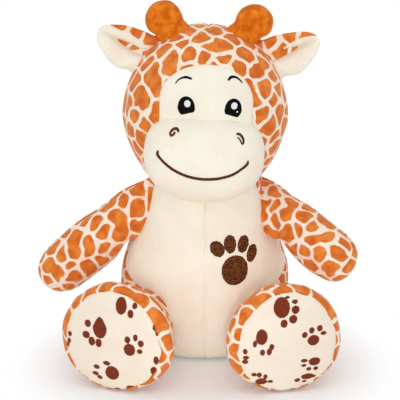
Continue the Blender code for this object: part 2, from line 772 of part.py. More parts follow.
def ear_layer(side, front):
    """Outer and inner grid of one layer. Reach runs out from the root, climb runs along it."""
    _, out, up = ear_root(side)
    half = EAR_THICKNESS / 2
    depth_sign = -1 if front else 1
    reaches = [-half * math.cos(a) for a in EAR_ROOT_ANGLES]
    reaches += [EAR_LENGTH * s for s in EAR_REACH_SHARES]
    grids = []
    for outer in (True, False):
        grid = []
        for reach in reaches:
            share = max(reach, 0.0) / EAR_LENGTH
            swell = math.sin(math.pi / 2 * min(share / EAR_BELLY_SHARE, 1.0)) ** 2
            taper = math.sqrt(1 - share ** EAR_TIP_POWER)
            half_width = (EAR_ROOT_HALF + (EAR_BELLY - EAR_ROOT_HALF) * swell) * taper
            middle = -EAR_DROOP * math.sqrt(share)
            row = []
            for t in spread(-1.0, 1.0, EAR_COLUMNS):
                cup = EAR_CUP * swell * taper * (1 - t * t)
                thick = half if reach >= 0 else math.sqrt(half ** 2 - reach ** 2)
                edge = 1 - (1 - EAR_EDGE_SHARE) * t ** 4
                level = depth_sign * (thick * edge if outer else SEAM_GAP / 2)
                point = out * reach + up * (middle + half_width * t) + Vector((0, cup + level, 0))
                row.append(point)
            grid.append(row)
        grids.append(grid)
    return grids


def build_ears(mats, middle, pivots):
    for side in SIDES:
        place, _, _ = ear_root(side)
        hinge = place_empty("ear_hinge_" + side, place, Matrix.Identity(4), middle)
        pivots["ear_" + side] = hinge
        for label, front, mat in (("ear_back", False, mats["print"]), ("ear_lining", True, mats["cream"])):
            outer, inner = ear_layer(side, front)
            cloth(label + "_" + side, outer, inner, mat, hinge)


def horn_profile(inset):
    """Radius and height from the root's underside up over the ball."""
    root = HORN_ROOT_RADIUS - inset
    ball = HORN_BALL_RADIUS - inset
    points = [(root * math.cos(a), root * math.sin(a))
              for a in spread(HORN_ROOT_START, 0.0, HORN_ROOT_STEPS)]
    start = -math.acos(min(HORN_ROOT_RADIUS / HORN_BALL_RADIUS, 1.0)) + HORN_NECK_TURN
    points += [(ball * math.cos(a), HORN_BALL_RISE + ball * math.sin(a))
               for a in spread(start, math.pi / 2, HORN_BALL_STEPS)]
    return points


def horn_rings(inset):
    angles = spread(0, 2 * math.pi, HORN_SEGMENTS)[:-1]
    rings = []
    for radius, height in horn_profile(inset):
        flat = radius if radius > SEAM_GAP else 0.0
        rings.append([Vector((flat * math.cos(a), flat * math.sin(a), height)) for a in angles])
    return rings


def build_horns(mats, middle, pivots, head_pieces):
    rise = HEAD_RISE + HEAD_HALF_HEIGHT * math.sqrt(1 - (HORN_OFFSET / HEAD_HALF_WIDTH) ** 2)
    for side, sign in SIDES.items():
        out = head_normal(HORN_OFFSET, rise)
        out.x *= sign
        place = Vector((sign * HORN_OFFSET, HEAD_SET_BACK, rise))
        turn = Vector((0, 0, 1)).rotation_difference(out).to_matrix().to_4x4()
        root = place_empty("horn_root_" + side, place, turn, middle)
        pivots["horn_" + side] = root
        cloth("horn_cover_" + side, horn_rings(0.0), horn_rings(CLOTH), mats["horn"], root, wrap=True)
        stuffing("horn_stuffing_" + side, horn_rings(CLOTH + SEAM_GAP), mats["fill"], root)
        radius = clear_radius(HORN_ROOT_RADIUS, HORN_SEGMENTS)
        socket = make_cutter(stuffing("horn_cutter_" + side, ball_rings((0, 0, 0), radius, HORN_SEGMENTS),
                                      None, root))
        for piece in head_pieces:
            if piece.name in ("head_" + side, "head_stuffing"):
                cut(piece, socket)


# Arms


def arm_root(side):
    """Middle of the arm's flat root and the direction that it faces, square to the torso's side."""
    low_z = ARM_ROOT_Z - ARM_ROOT_SPAN
    high_z = NECK_PIVOT_Z + NECK_RADIUS * math.sin(SHOULDER_LEAN)
    low_x = torso_size_at(low_z)[0]
    high_x = torso_size_at(high_z)[0]
    out = Vector((high_z - low_z, 0.0, low_x - high_x)).normalized()
    reach = 0.0
    for z in spread(low_z, high_z, ROOT_SEARCH_STEPS):
        reach = max(reach, out.dot(Vector((torso_size_at(z)[0], 0.0, z))))
    for rise in spread(0.0, math.pi / 2, ROOT_SEARCH_STEPS):
        neck = Vector((NECK_RADIUS * math.cos(rise), 0.0, NECK_PIVOT_Z + NECK_RADIUS * math.sin(rise)))
        reach = max(reach, out.dot(neck))
    x = (reach + RUNNING_GAP - out.z * ARM_ROOT_Z) / out.x
    sign = SIDES[side]
    out.x *= sign
    return Vector((sign * x, ARM_ROOT_Y, ARM_ROOT_Z)), out


def arm_size_share(share):
    for low, high in zip(ARM_STATION_SHARES, ARM_STATION_SHARES[1:]):
        if low[0] <= share <= high[0]:
            return low[1] + (high[1] - low[1]) * (share - low[0]) / (high[0] - low[0])
    return ARM_STATION_SHARES[0][1]


def arm_rows(side, inset, angles):
    """Lines along the arm from its flat root to its tip, one row for each station."""
    _, out = arm_root(side)
    sign = SIDES[side]
    length = ARM_LENGTHS[side]
    droop = ARM_DROOPS[side]
    along = Vector((sign * math.cos(droop), 0.0, -math.sin(droop)))
    up = Vector((sign * math.sin(droop), 0.0, math.cos(droop)))
    back = Vector((0.0, 1.0, 0.0))

    def point(place, angle):
        size = max(arm_size_share(max(place, 0.0) / length), 0.0)
        half_up = max(ARM_HALF_WIDTH * size - inset, 0.0)
        half_back = max(ARM_HALF_DEPTH * size - inset, 0.0)
        return along * place + up * half_up * math.sin(angle) + back * half_back * math.cos(angle)

    starts = []
    for angle in angles:
        start = 0.0
        for _ in range(ROOT_SEARCH_STEPS):
            start -= out.dot(point(start, angle)) / out.dot(along)
        starts.append(start)
    tip = length - inset
    rows = []
    for share, _ in ARM_STATION_SHARES:
        row = [start + (tip - start) * share for start in starts]
        rows.append([point(place, angle) if share < 1 else along * tip
                     for place, angle in zip(row, angles)])
    return rows


def build_arms(mats, pivots):
    for side in SIDES:
        place, out = arm_root(side)
        swing = Matrix.Rotation(ARM_REST_SWINGS[side], 4, swing_axis(side))
        root = place_empty("arm_root_" + side, place, swing)
        pivots["arm_" + side] = root
        seam = SEAM_GAP / (ARM_HALF_DEPTH * 2)
        for label, start in (("arm_back", -math.pi / 2), ("arm_front", math.pi / 2)):
            angles = spread(start + seam, start + math.pi - seam, ARM_SEGMENTS // 2)
            outer = arm_rows(side, 0.0, angles)
            inner = arm_rows(side, CLOTH, angles)
            shift = Vector((0.0, SEAM_GAP / 2 if label == "arm_back" else -SEAM_GAP / 2, 0.0))
            outer = [[p + shift for p in row] for row in outer]
            inner = [[p + shift for p in row] for row in inner]
            cloth(label + "_" + side, outer, inner, mats["print"], root)
        angles = spread(-math.pi / 2, 3 * math.pi / 2, ARM_SEGMENTS)[:-1]
        stuffing("arm_stuffing_" + side, arm_rows(side, CLOTH + FILL_GAP, angles), mats["fill"], root)


def swing_axis(side):
    """A right-handed turn about this axis swings the arm forward."""
    _, out = arm_root(side)
    return out if side == "right" else -out


# Legs


def hip_place(side):
    """The middle of the leg's ball root, sunk into the torso's front."""
    y = torso_front(HIP_X, HIP_Z)
    return Vector((SIDES[side] * HIP_X, y + HIP_SUNK, HIP_Z))


def leg_rings(inset, angles):
    """Rings from the root at the hip, along -Y, to the sole's rim."""
    rings = []
    root = LEG_ROOT_RADIUS - inset
    for angle in LEG_ROOT_ANGLES:
        place = root * math.sin(angle)
        radius = root * math.cos(angle)
        rings.append([Vector((radius * math.cos(a), -place, radius * math.sin(a))) for a in angles])
    for place, width, height, drop in LEG_STATION_SHARES:
        half_width = FOOT_HALF_WIDTH * width - inset
        half_height = FOOT_HALF_HEIGHT * height - inset
        middle = -FOOT_HALF_HEIGHT * drop + (FOOT_HALF_HEIGHT - HIP_Z - FLOOR_FLAT)
        rings.append([Vector((half_width * math.cos(a) * (1 - FOOT_EGG_SHARE * math.sin(a)),
                              -LEG_LENGTH * place, middle + half_height * math.sin(a)))
                      for a in angles])
    return rings


def sole_dome(rim, forward):
    """Rings over the sole, from its rim to its middle."""
    centre = sum(rim, Vector()) / len(rim)
    rings = []
    for share in reversed(SOLE_RING_SHARES):
        bulge = SOLE_BULGE * (1 - share ** 2)
        rings.append([centre + (p - centre) * share + Vector((0.0, -bulge - forward, 0.0)) for p in rim])
    return rings


def build_legs(mats, pivots, torso_pieces):
    angles = spread(-math.pi / 2, 3 * math.pi / 2, LEG_SEGMENTS)[:-1]
    floor = make_cutter(floor_cutter())
    for side in SIDES:
        turn = Matrix.Rotation(SIDES[side] * LEG_SPLAYS[side], 4, "Z")
        hip = place_empty("hip_" + side, hip_place(side), turn)
        pivots["leg_" + side] = hip
        skin = cloth("leg_" + side, leg_rings(0.0, angles), leg_rings(CLOTH, angles),
                     mats["print"], hip, wrap=True)
        fill_rings = leg_rings(CLOTH + FILL_GAP, angles)
        stuffing("leg_stuffing_" + side, fill_rings[:-1] + sole_dome(fill_rings[-1], 0.0),
                 mats["fill"], hip)
        rim = leg_rings(SEAM_GAP, angles)[-1]
        bm = bmesh.new()
        low, top = ([[bm.verts.new(p) for p in row] for row in sole_dome(rim, forward)]
                    for forward in (SEAM_GAP, SEAM_GAP + CLOTH))
        for k in range(len(SOLE_RING_SHARES) - 1):
            bridge(bm, top[k], top[k + 1], True)
            bridge(bm, low[k + 1], low[k], True)
        bridge(bm, low[0], top[0], True)
        sole = place_object("sole_" + side, bm, mats["cream"], hip)
        cut(skin, floor)
        cut(sole, floor)
        radius = clear_radius(LEG_ROOT_RADIUS, LEG_SEGMENTS)
        socket = make_cutter(stuffing("hip_cutter_" + side,
                                      ball_rings((0, 0, 0), radius, LEG_SEGMENTS), None, hip))
        for piece in torso_pieces:
            other = "right" if side == "left" else "left"
            if not piece.name.endswith(other):
                cut(piece, socket)


def floor_cutter():
    """A slab under the surface that the toy sits on."""
    reach = LEG_LENGTH + HIP_HALF_WIDTH + FOOT_HALF_WIDTH + OVERRUN
    corners = ((-reach, -reach), (reach, -reach), (reach, reach), (-reach, reach))
    rings = [[Vector((x, y, z)) for x, y in corners] for z in (-OVERRUN, 0.0)]
    return stuffing("floor_cutter", rings, None, None)


def build():
    clear_scene()
    mats = {
        "print": make_material("printed_plush", PRINT_ORANGE, 0.9),
        "cream": make_material("cream_plush", CREAM, 0.9),
        "horn": make_material("horn_plush", HORN_ORANGE, 0.9),
        "black": make_material("black_thread", THREAD_BLACK, 0.45),
        "white": make_material("white_thread", THREAD_WHITE, 0.5),
        "brown": make_material("brown_thread", THREAD_BROWN, 0.55),
        "fill": make_material("fibre_fill", FILL_WHITE, 1.0),
        "bag": make_material("pellet_cloth", BAG_GREY, 0.8),
    }
    pivots = {}
    torso_pieces = build_torso(mats)
    build_paw(mats)
    neck = place_empty("neck_pivot", Vector((0.0, 0.0, NECK_PIVOT_Z)), Matrix.Identity(4))
    build_neck_pad(mats, neck)
    tilt = Matrix.Rotation(HEAD_TILT, 4, "Y")
    pivot = place_empty("head_pivot", Vector((0.0, 0.0, NECK_PIVOT_Z)), tilt)
    pivots["head"] = pivot
    middle = place_empty("head_middle", Vector((HEAD_SHIFT, 0.0, 0.0)), Matrix.Identity(4), pivot)
    head_pieces = build_head(mats, pivot, middle)
    build_face(mats, middle)
    build_ears(mats, middle, pivots)
    build_horns(mats, middle, pivots, head_pieces)
    build_arms(mats, pivots)
    build_legs(mats, pivots, torso_pieces)
    bpy.context.view_layer.update()
    for name, empty in pivots.items():
        place = empty.matrix_world.translation
        print(name, "pivot", tuple(round(c, 5) for c in place))


build()
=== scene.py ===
# %% [markdown]
# # A sitting plush giraffe
# The toy is about 27 cm high. It has a printed coat with orange patches and pale lines, a cream belly,
# a big cream muzzle, stuffed knobs for horns, and cream soles printed with small paws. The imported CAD
# model gives every stuffed form its place. This lesson sews a cloth skin over each of them.

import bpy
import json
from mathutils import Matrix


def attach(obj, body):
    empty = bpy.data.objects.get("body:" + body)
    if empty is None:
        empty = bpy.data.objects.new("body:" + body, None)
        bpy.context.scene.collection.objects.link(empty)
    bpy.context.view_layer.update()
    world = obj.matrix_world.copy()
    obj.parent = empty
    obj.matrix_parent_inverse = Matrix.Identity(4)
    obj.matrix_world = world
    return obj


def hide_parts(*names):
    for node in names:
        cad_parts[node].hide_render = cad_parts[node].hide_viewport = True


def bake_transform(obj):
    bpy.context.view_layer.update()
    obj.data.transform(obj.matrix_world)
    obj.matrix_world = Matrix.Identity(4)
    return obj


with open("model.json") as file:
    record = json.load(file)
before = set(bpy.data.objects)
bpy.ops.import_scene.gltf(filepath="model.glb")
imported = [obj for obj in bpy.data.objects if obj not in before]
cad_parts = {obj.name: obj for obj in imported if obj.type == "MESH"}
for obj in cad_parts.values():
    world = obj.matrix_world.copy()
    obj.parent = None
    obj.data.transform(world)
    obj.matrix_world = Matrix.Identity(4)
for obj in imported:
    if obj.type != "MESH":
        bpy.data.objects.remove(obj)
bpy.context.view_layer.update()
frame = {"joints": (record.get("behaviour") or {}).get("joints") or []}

# %% The tools of the lesson
import json
import math
import random

import bmesh
import bpy
from mathutils import Matrix, Vector, noise
from mathutils.bvhtree import BVHTree
from mathutils.kdtree import KDTree

bpy.ops.object.select_all(action="DESELECT")
MM = 0.001
SIDES = {"left": 1, "right": -1}
print("Blender", bpy.app.version_string)

# %% [markdown]
# ## Camera, floor and light
# The photograph looks down on the toy by 17 degrees from a little over a metre. Big soft lamps and an
# even world light give every colour about the value it is written with, and a narrow lamp brightens
# the belly between the feet. A camera ray sees the world as plain white and the floor whiter with its
# distance from the toy, which keeps the shadow and fades the ground as in a catalogue picture.

# %% Camera
CAMERA_ELEVATION = math.radians(17)
CAMERA_DISTANCE = 1.3
CAMERA_TARGET = Vector((-0.003775, 0.0, 0.115227))
FRAME_HALF_PIXELS = 200
PIXEL_SIZE = 0.000755

lens = bpy.data.cameras.new("camera")
lens.sensor_fit = "HORIZONTAL"
lens.angle = 2 * math.atan(FRAME_HALF_PIXELS * PIXEL_SIZE / CAMERA_DISTANCE)
camera = bpy.data.objects.new("camera", lens)
bpy.context.collection.objects.link(camera)
camera.location = CAMERA_TARGET + CAMERA_DISTANCE * Vector(
    (0.0, -math.cos(CAMERA_ELEVATION), math.sin(CAMERA_ELEVATION)))
camera.rotation_euler = (math.pi / 2 - CAMERA_ELEVATION, 0.0, 0.0)
bpy.context.scene.camera = camera
bpy.context.scene.view_settings.view_transform = "Standard"
print("camera at", tuple(round(c, 3) for c in camera.location))

# %% [markdown]
# ## A small language for materials
# A finish is a sum of simple patterns. The class below wraps a socket, so that a pattern can be written
# as a sum of others, and each sum adds the Math node that it stands for.


# %% Sums on sockets
class Wire:
    """An output of a finish that can be used in sums."""

    def __init__(self, finish, socket):
        self.finish = finish
        self.socket = socket

    def sum(self, operation, first, second):
        return self.finish.node("ShaderNodeMath", {"operation": operation}, {0: first, 1: second})

    def __add__(self, other):
        return self.sum("ADD", self, other)

    __radd__ = __add__

    def __mul__(self, other):
        return self.sum("MULTIPLY", self, other)

    __rmul__ = __mul__

    def __sub__(self, other):
        return self.sum("SUBTRACT", self, other)

    def __rsub__(self, other):
        return self.sum("SUBTRACT", other, self)


# %% A finish and its nodes
class Finish:
    """A material whose nodes are added one by one."""

    def __init__(self, name, **constants):
        self.material = bpy.data.materials.new(name)
        self.material.use_nodes = True
        self.tree = self.material.node_tree
        self.shader = self.tree.nodes["Principled BSDF"]
        for socket, value in constants.items():
            self.shader.inputs[socket.replace("_", " ")].default_value = value
        self.place = self.node("ShaderNodeTexCoord", output="Object")

    def feed(self, socket, value):
        if isinstance(value, Wire):
            self.tree.links.new(value.socket, socket)
        else:
            socket.default_value = value

    def node(self, kind, settings=None, values=None, output=0):
        made = self.tree.nodes.new(kind)
        for key, value in (settings or {}).items():
            setattr(made, key, value)
        for key, value in (values or {}).items():
            self.feed(made.inputs[key], value)
        return Wire(self, made.outputs[output])

    def grain(self, size, detail=2.0, stretch=(1.0, 1.0, 1.0)):
        """Noise from 0 to 1 whose lumps are about a size across, longer along the stretched axes."""
        scale = tuple(1 / (size * s) for s in stretch)
        place = self.node("ShaderNodeMapping", None, {"Vector": self.place, "Scale": scale})
        return self.node("ShaderNodeTexNoise", None, {"Vector": place, "Scale": 1.0, "Detail": detail})

    def between(self, value, low, high):
        """A value eased from 0 at low to 1 at high."""
        return self.node("ShaderNodeMapRange", {"interpolation_type": "SMOOTHSTEP"},
                         {"Value": value, "From Min": low, "From Max": high})

    def blend(self, share, first, second):
        return self.node("ShaderNodeMix", {"data_type": "RGBA"},
                         {"Factor": share, 6: first, 7: second}, output=2)

    def mark(self, name):
        """A number that is stored on the points of the piece."""
        return self.node("ShaderNodeAttribute", {"attribute_name": name}, output="Fac")

    def bump(self, height, distance, below=None):
        values = {"Height": height, "Distance": distance, "Strength": 1.0}
        if below:
            values["Normal"] = below
        return self.node("ShaderNodeBump", None, values)

    def wear(self, **inputs):
        """Links the finished patterns to the shader."""
        for socket, value in inputs.items():
            self.feed(self.shader.inputs[socket.replace("_", " ")], value)
        return self.material


def tone(red, green, blue):
    """A colour as seen on a screen, from 0 to 255, as the linear colour that a shader wants."""
    def linear(value):
        value /= 255
        return value / 12.92 if value <= 0.04045 else ((value + 0.055) / 1.055) ** 2.4
    return (linear(red), linear(green), linear(blue), 1.0)


print("finish helpers ready")

# %% Floor
FLOOR_SIZE = 12.0
FLOOR_WHITE_SHARE = 0.15
FLOOR_SHADOW_PLACE = (0.0, -0.045, 0.0)
FLOOR_FADE_START = 0.085
FLOOR_FADE_END = 0.15

bpy.ops.mesh.primitive_plane_add(size=FLOOR_SIZE)
floor = bpy.context.object
floor.name = "floor"
ground = Finish("floor_white", Base_Color=tone(250, 250, 250), Roughness=1.0)
seen = ground.node("ShaderNodeLightPath", output="Is Camera Ray")
white = ground.node("ShaderNodeEmission", None, {"Color": tone(255, 255, 255), "Strength": 1.0})
away = ground.node("ShaderNodeVectorMath", {"operation": "DISTANCE"},
                   {0: ground.place, 1: FLOOR_SHADOW_PLACE}, output="Value")
fade = ground.between(away, FLOOR_FADE_START, FLOOR_FADE_END) * (1 - FLOOR_WHITE_SHARE) + FLOOR_WHITE_SHARE
mixed = ground.node("ShaderNodeMixShader", None,
                    {0: seen * fade, 1: Wire(ground, ground.shader.outputs[0]), 2: white})
ground.feed(ground.tree.nodes["Material Output"].inputs["Surface"], mixed)
floor.data.materials.append(ground.material)
print("floor", FLOOR_SIZE, "m wide")

# %% Lamps
WORLD_LIGHT = 0.72
# Name and kind of each lamp, its place, what it faces, its power and its size or beam
LAMPS = (
    ("top_lamp", "AREA", (0.0, -0.1, 1.6), CAMERA_TARGET, 4.0, {"size": 1.8}),
    ("key_lamp", "AREA", (-0.6, -1.7, 0.7), CAMERA_TARGET, 2.5, {"size": 1.2}),
    ("low_lamp", "AREA", (0.05, -1.8, 0.12), CAMERA_TARGET, 6.0, {"size": 0.6}),
    ("belly_lamp", "SPOT", (0.0, -1.3, 0.3), Vector((0.0, -0.04, 0.036)), 12.0,
     {"spot_size": math.radians(9), "spot_blend": 1.0, "shadow_soft_size": 0.08}),
)

for name, kind, place, aim, power, settings in LAMPS:
    lamp = bpy.data.lights.new(name, kind)
    lamp.energy = power
    for key, value in settings.items():
        setattr(lamp, key, value)
    holder = bpy.data.objects.new(name, lamp)
    bpy.context.collection.objects.link(holder)
    holder.location = place
    holder.rotation_euler = (aim - Vector(place)).to_track_quat("-Z", "Y").to_euler()

world = bpy.data.worlds.new("studio")
bpy.context.scene.world = world
world.use_nodes = True
sky = world.node_tree.nodes["Background"].inputs
sky["Color"].default_value = (1.0, 1.0, 1.0, 1.0)
ray = world.node_tree.nodes.new("ShaderNodeLightPath")
level = world.node_tree.nodes.new("ShaderNodeMapRange")
level.inputs["To Min"].default_value = WORLD_LIGHT
world.node_tree.links.new(ray.outputs["Is Camera Ray"], level.inputs["Value"])
world.node_tree.links.new(level.outputs["Result"], sky["Strength"])
print("lamps:", [lamp[0] for lamp in LAMPS])

# %% [markdown]
# ## Sewing helpers
# A stuffed form is a skin over rows of points, as a pattern cutter lofts a sleeve from its hoops. The
# rows come from a short table of stations, with a smooth curve drawn through them. Sewing then pulls
# the skin inwards along each seam, and the thread gathers it into small puckers.


# %% Smooth rows from a table of stations
def spread(start, end, count):
    return [start + (end - start) * i / count for i in range(count + 1)]


def around(count, start=0.0):
    """Angles of a full turn."""
    return [start + 2 * math.pi * i / count for i in range(count)]


def through(stations, count, scales=(1.0, 1.0, 1.0)):
    """Rows, evenly spaced, on a smooth curve through the rows of a table."""
    knots = [0.0]
    for a, b in zip(stations, stations[1:]):
        knots.append(knots[-1] + math.sqrt(sum(((p - q) * s) ** 2 for p, q, s in zip(a, b, scales))) + 1e-9)
    last = len(stations) - 1
    slopes = []
    for k in range(last + 1):
        low, high = max(k - 1, 0), min(k + 1, last)
        slopes.append([(b - a) / (knots[high] - knots[low]) for a, b in zip(stations[low], stations[high])])
    rows = []
    k = 0
    for along in spread(0.0, knots[-1], count):
        while k < last - 1 and along > knots[k + 1]:
            k += 1
        span = knots[k + 1] - knots[k]
        t = (along - knots[k]) / span
        shares = (2 * t ** 3 - 3 * t ** 2 + 1, (t ** 3 - 2 * t ** 2 + t) * span,
                  -2 * t ** 3 + 3 * t ** 2, (t ** 3 - t ** 2) * span)
        rows.append([sum(share * value for share, value in zip(shares, values))
                     for values in zip(stations[k], slopes[k], stations[k + 1], slopes[k + 1])])
    return rows


def in_table(table, place):
    """The values of a table at a place, straight between its rows and steady beyond its ends."""
    for low, high in zip(table, table[1:]):
        if place <= high[0]:
            share = max(place - low[0], 0.0) / (high[0] - low[0])
            return [a + (b - a) * share for a, b in zip(low[1:], high[1:])]
    return table[-1][1:]


def ring(half_width, half_depth, z, angles, middle_y=0.0):
    """A level ring of points."""
    return [Vector((half_width * math.cos(a), middle_y + half_depth * math.sin(a), z)) for a in angles]


# %% A skin through rows of points
def to_piece(name, bm):
    """An object of its own from a mesh in work, closed where its points meet."""
    bmesh.ops.remove_doubles(bm, verts=bm.verts, dist=MM / 200)
    bmesh.ops.recalc_face_normals(bm, faces=bm.faces)
    mesh = bpy.data.meshes.new(name)
    bm.to_mesh(mesh)
    bm.free()
    mesh.shade_smooth()
    piece = bpy.data.objects.new(name, mesh)
    bpy.context.collection.objects.link(piece)
    return piece


def sew(name, rows):
    """A mesh through rings of points. A ring at one place closes to a pole, other ends get a flat cap."""
    bm = bmesh.new()
    lines = [[bm.verts.new(p) for p in row] for row in rows]
    width = len(rows[0])
    for low, high in zip(lines, lines[1:]):
        for i in range(width):
            j = (i + 1) % width
            bm.faces.new((low[i], low[j], high[j], high[i]))
    for row, line in ((rows[0], lines[0]), (rows[-1], lines[-1])):
        if (row[0] - row[width // 2]).length > MM / 10:
            bm.faces.new(line)
    return to_piece(name, bm)


def pad_between(name, front, back):
    """A closed pad between a front grid and a back grid of points."""
    return sew(name, [near + far[::-1] for near, far in zip(front, back)])


def press(piece, depth_at):
    """Moves each point inwards, along its normal, by a depth that depends on its place."""
    normals = [v.normal.copy() for v in piece.data.vertices]
    for v, normal in zip(piece.data.vertices, normals):
        v.co -= normal * depth_at(v.co, normal)
    piece.data.update()


def rough(place, size, shift=0.0):
    """Noise from -1 to 1 with lumps of a size."""
    return noise.noise(place / size + Vector((shift, shift, shift)))


def pleats(angle, turns, along, shift):
    """Noise from -1 to 1 in folds that run outwards from a middle."""
    return rough(Vector((math.cos(angle) * turns, math.sin(angle) * turns, along)), 1.0, shift)


def crease(distance, width):
    """1 on a seam, falling off to the sides."""
    return math.exp(-(distance / width) ** 2)


def seam_pull(place, distance, depth=0.0012, width=0.0022, pucker=0.0005, pitch=0.0045):
    """How far a seam pulls the cloth in: a valley, with puckers that fade away from it."""
    valley = depth * crease(distance, width) * (1 + 0.35 * rough(place, pitch * 2, 3.1))
    return valley + pucker * rough(place, pitch, 7.7) * math.exp(-distance / (3 * width))


def lumps(place, height=0.0006, size=0.022):
    """The slow unevenness of the stuffing."""
    return height * rough(place, size, 5.3)


def cloth_tree(piece):
    """A cloth that rays can be cast at, to find the place of a stitch on it."""
    return BVHTree.FromPolygons([v.co.copy() for v in piece.data.vertices],
                                [tuple(p.vertices) for p in piece.data.polygons])


print("sewing helpers ready")


def joint_called(name):
    return next(joint for joint in frame["joints"] if joint["name"] == name)


def dress(piece, material, nodes, body=None):
    """Gives a piece its finish, hides the CAD parts that it stands for and hangs it on what carries it."""
    piece.data.materials.append(material)
    if nodes:
        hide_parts(*nodes)
    if body:
        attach(piece, body)
    places = list(zip(*(v.co for v in piece.data.vertices)))
    size = " x ".join(f"{(max(row) - min(row)) / MM:.0f}" for row in places)
    print(f"{piece.name}: {len(piece.data.polygons)} faces, {size} mm")


# %% [markdown]
# ## The giraffe print
# The coat is printed: rounded orange patches of 10 to 16 mm with pale lines between them. Seeds are
# scattered over the cloth no closer than a set distance. Each point of the mesh then learns how far it
# is from the line between its two nearest seeds. The finish reads that distance, so that the patches
# keep their size on every curve of the body and move with the cloth in every pose.


# %% Scatter the patches
# The least distance between two patches' middles, and the seed of each piece's print
TORSO_PRINT = (0.0115, 11)
HEAD_PRINT = (0.0100, 23)
EAR_PRINTS = {"left": (0.0105, 31), "right": (0.0105, 37)}
ARM_PRINTS = {"left": (0.0099, 41), "right": (0.0099, 43)}
LEG_PRINTS = {"left": (0.0097, 51), "right": (0.0097, 57)}
PRINT_WOBBLE = 0.0034
PRINT_WOBBLE_SIZE = 0.011
PRINT_RAGGED_SIZE = 0.0048
PRINT_UNEVEN = 0.0016
PRINT_JOINED_SHARE = 0.22
PRINT_TRIES = 5000
PRINT_NEAR = 6
PRINT_CORNER = 0.0007
PRINT_CORNER_REACH = 0.003


def store(piece, name, values):
    layer = piece.data.attributes.new(name, "FLOAT", "POINT")
    layer.data.foreach_set("value", values)


def drift(place):
    """A small shift that depends only on the place, from three readings of one noise."""
    return Vector([noise.noise(place + Vector((step, step, step))) for step in (0.0, 17.3, 41.9)])


def print_patches(piece, spacing, seed, joined=PRINT_JOINED_SHARE):
    """Stores on each point its distance to the nearest line of the print."""
    dice = random.Random(seed)
    shift = Vector((seed, seed, seed))
    places = [v.co + PRINT_WOBBLE * drift(v.co / PRINT_WOBBLE_SIZE + shift)
              + PRINT_WOBBLE / 4 * drift(v.co / PRINT_RAGGED_SIZE + shift)
              for v in piece.data.vertices]
    seeds = []
    for place in dice.sample(places, min(len(places), PRINT_TRIES)):
        if all((place - other).length_squared > spacing ** 2 for other in seeds):
            seeds.append(place)
    weights = [dice.uniform(0, PRINT_UNEVEN) for _ in seeds]
    tree = KDTree(len(seeds))
    for index, place in enumerate(seeds):
        tree.insert(place, index)
    tree.balance()
    patch = list(range(len(seeds)))
    for index, place in enumerate(seeds):
        if dice.random() < joined and patch[index] == index:
            patch[index] = patch[tree.find_n(place, 2)[1][1]]
    values = []
    for place in places:
        near = sorted((distance - weights[index], patch[index])
                      for _, index, distance in tree.find_n(place, PRINT_NEAR))
        others = [distance for distance, owner in near if owner != near[0][1]]
        line = (others[0] - near[0][0]) / 2
        far = others[1] - near[0][0] if len(others) > 1 else math.inf
        corner = math.exp(-max(far, 0.0) / PRINT_CORNER_REACH)
        values.append(line - PRINT_CORNER * corner)
    store(piece, "print_line", values)
    print(f"{piece.name}: {len(seeds)} patches")


# %% [markdown]
# ## The cloths
# All of the toy is short-pile plush: it has no gloss, its pile catches the light at the edges like
# velvet, and brushing leaves soft lighter and darker marks. The sheen gives the velvet edge, slow noise
# gives the brushed marks, and fine noise in the bump gives the pile.

# %% Printed plush
LINE_HALF_WIDTH = 0.0011
LINE_SOFT = 0.00025
LINE_FUZZ = 0.0009
PAW_SOFT = 0.0002
PAW_FUZZ = 0.0007
PILE_SIZE = 0.0009
PILE_HEIGHT = 0.0005
BRUSHED_SIZE = 0.005
THREAD_HEIGHT = 0.00025


def plush(name, sheen_tint):
    """A dull finish with the velvet edge of a short pile."""
    return Finish(name, Roughness=0.92, Sheen_Weight=0.5, Sheen_Roughness=0.4, Sheen_Tint=sheen_tint,
                  Specular_IOR_Level=0.12)


def pile_bump(finish):
    """The height of a short brushed pile."""
    return finish.bump(finish.grain(PILE_SIZE) * 0.6 + finish.grain(BRUSHED_SIZE), PILE_HEIGHT)


def printed_plush():
    cloth = plush("printed_plush", tone(255, 230, 195))
    line = cloth.mark("print_line") + (cloth.grain(0.0014) - 0.5) * LINE_FUZZ
    patch = cloth.between(line, LINE_HALF_WIDTH - LINE_SOFT, LINE_HALF_WIDTH + LINE_SOFT)
    brushed = cloth.between(cloth.grain(0.007, 3.0), 0.3, 0.75)
    orange = cloth.blend(brushed, tone(212, 102, 28), tone(238, 142, 62))
    pale = cloth.blend(cloth.grain(0.012), tone(246, 226, 205), tone(254, 242, 228))
    return cloth.wear(Base_Color=cloth.blend(patch, pale, orange), Normal=pile_bump(cloth))


PRINTED = printed_plush()
print("made", PRINTED.name)


# %% Cream plush and sole plush
def cream_plush():
    cloth = plush("cream_plush", tone(255, 250, 240))
    streaks = cloth.grain(0.0022, stretch=(1.0, 1.0, 8.0))
    marks = cloth.grain(0.02)
    cream = cloth.blend(cloth.between(streaks * 0.3 + marks * 0.7, 0.25, 0.75),
                        tone(246, 238, 219), tone(252, 246, 231))
    # Painted shade: the ear lining's cream darkens along its fold, read from the fold mark stored on it.
    shaded = cloth.blend(cloth.mark("fold"), cream, tone(200, 187, 160))
    return cloth.wear(Base_Color=shaded, Normal=pile_bump(cloth))


def sole_plush():
    cloth = plush("sole_plush", tone(255, 250, 240))
    cream = cloth.blend(cloth.grain(0.016), tone(237, 222, 203), tone(247, 235, 218))
    brown = cloth.blend(cloth.grain(0.002), tone(104, 36, 16), tone(138, 58, 34))
    edge = cloth.mark("paw_print") + (cloth.grain(0.0012) - 0.5) * PAW_FUZZ
    paw = cloth.between(edge, -PAW_SOFT, PAW_SOFT)
    return cloth.wear(Base_Color=cloth.blend(paw, brown, cream), Normal=pile_bump(cloth))


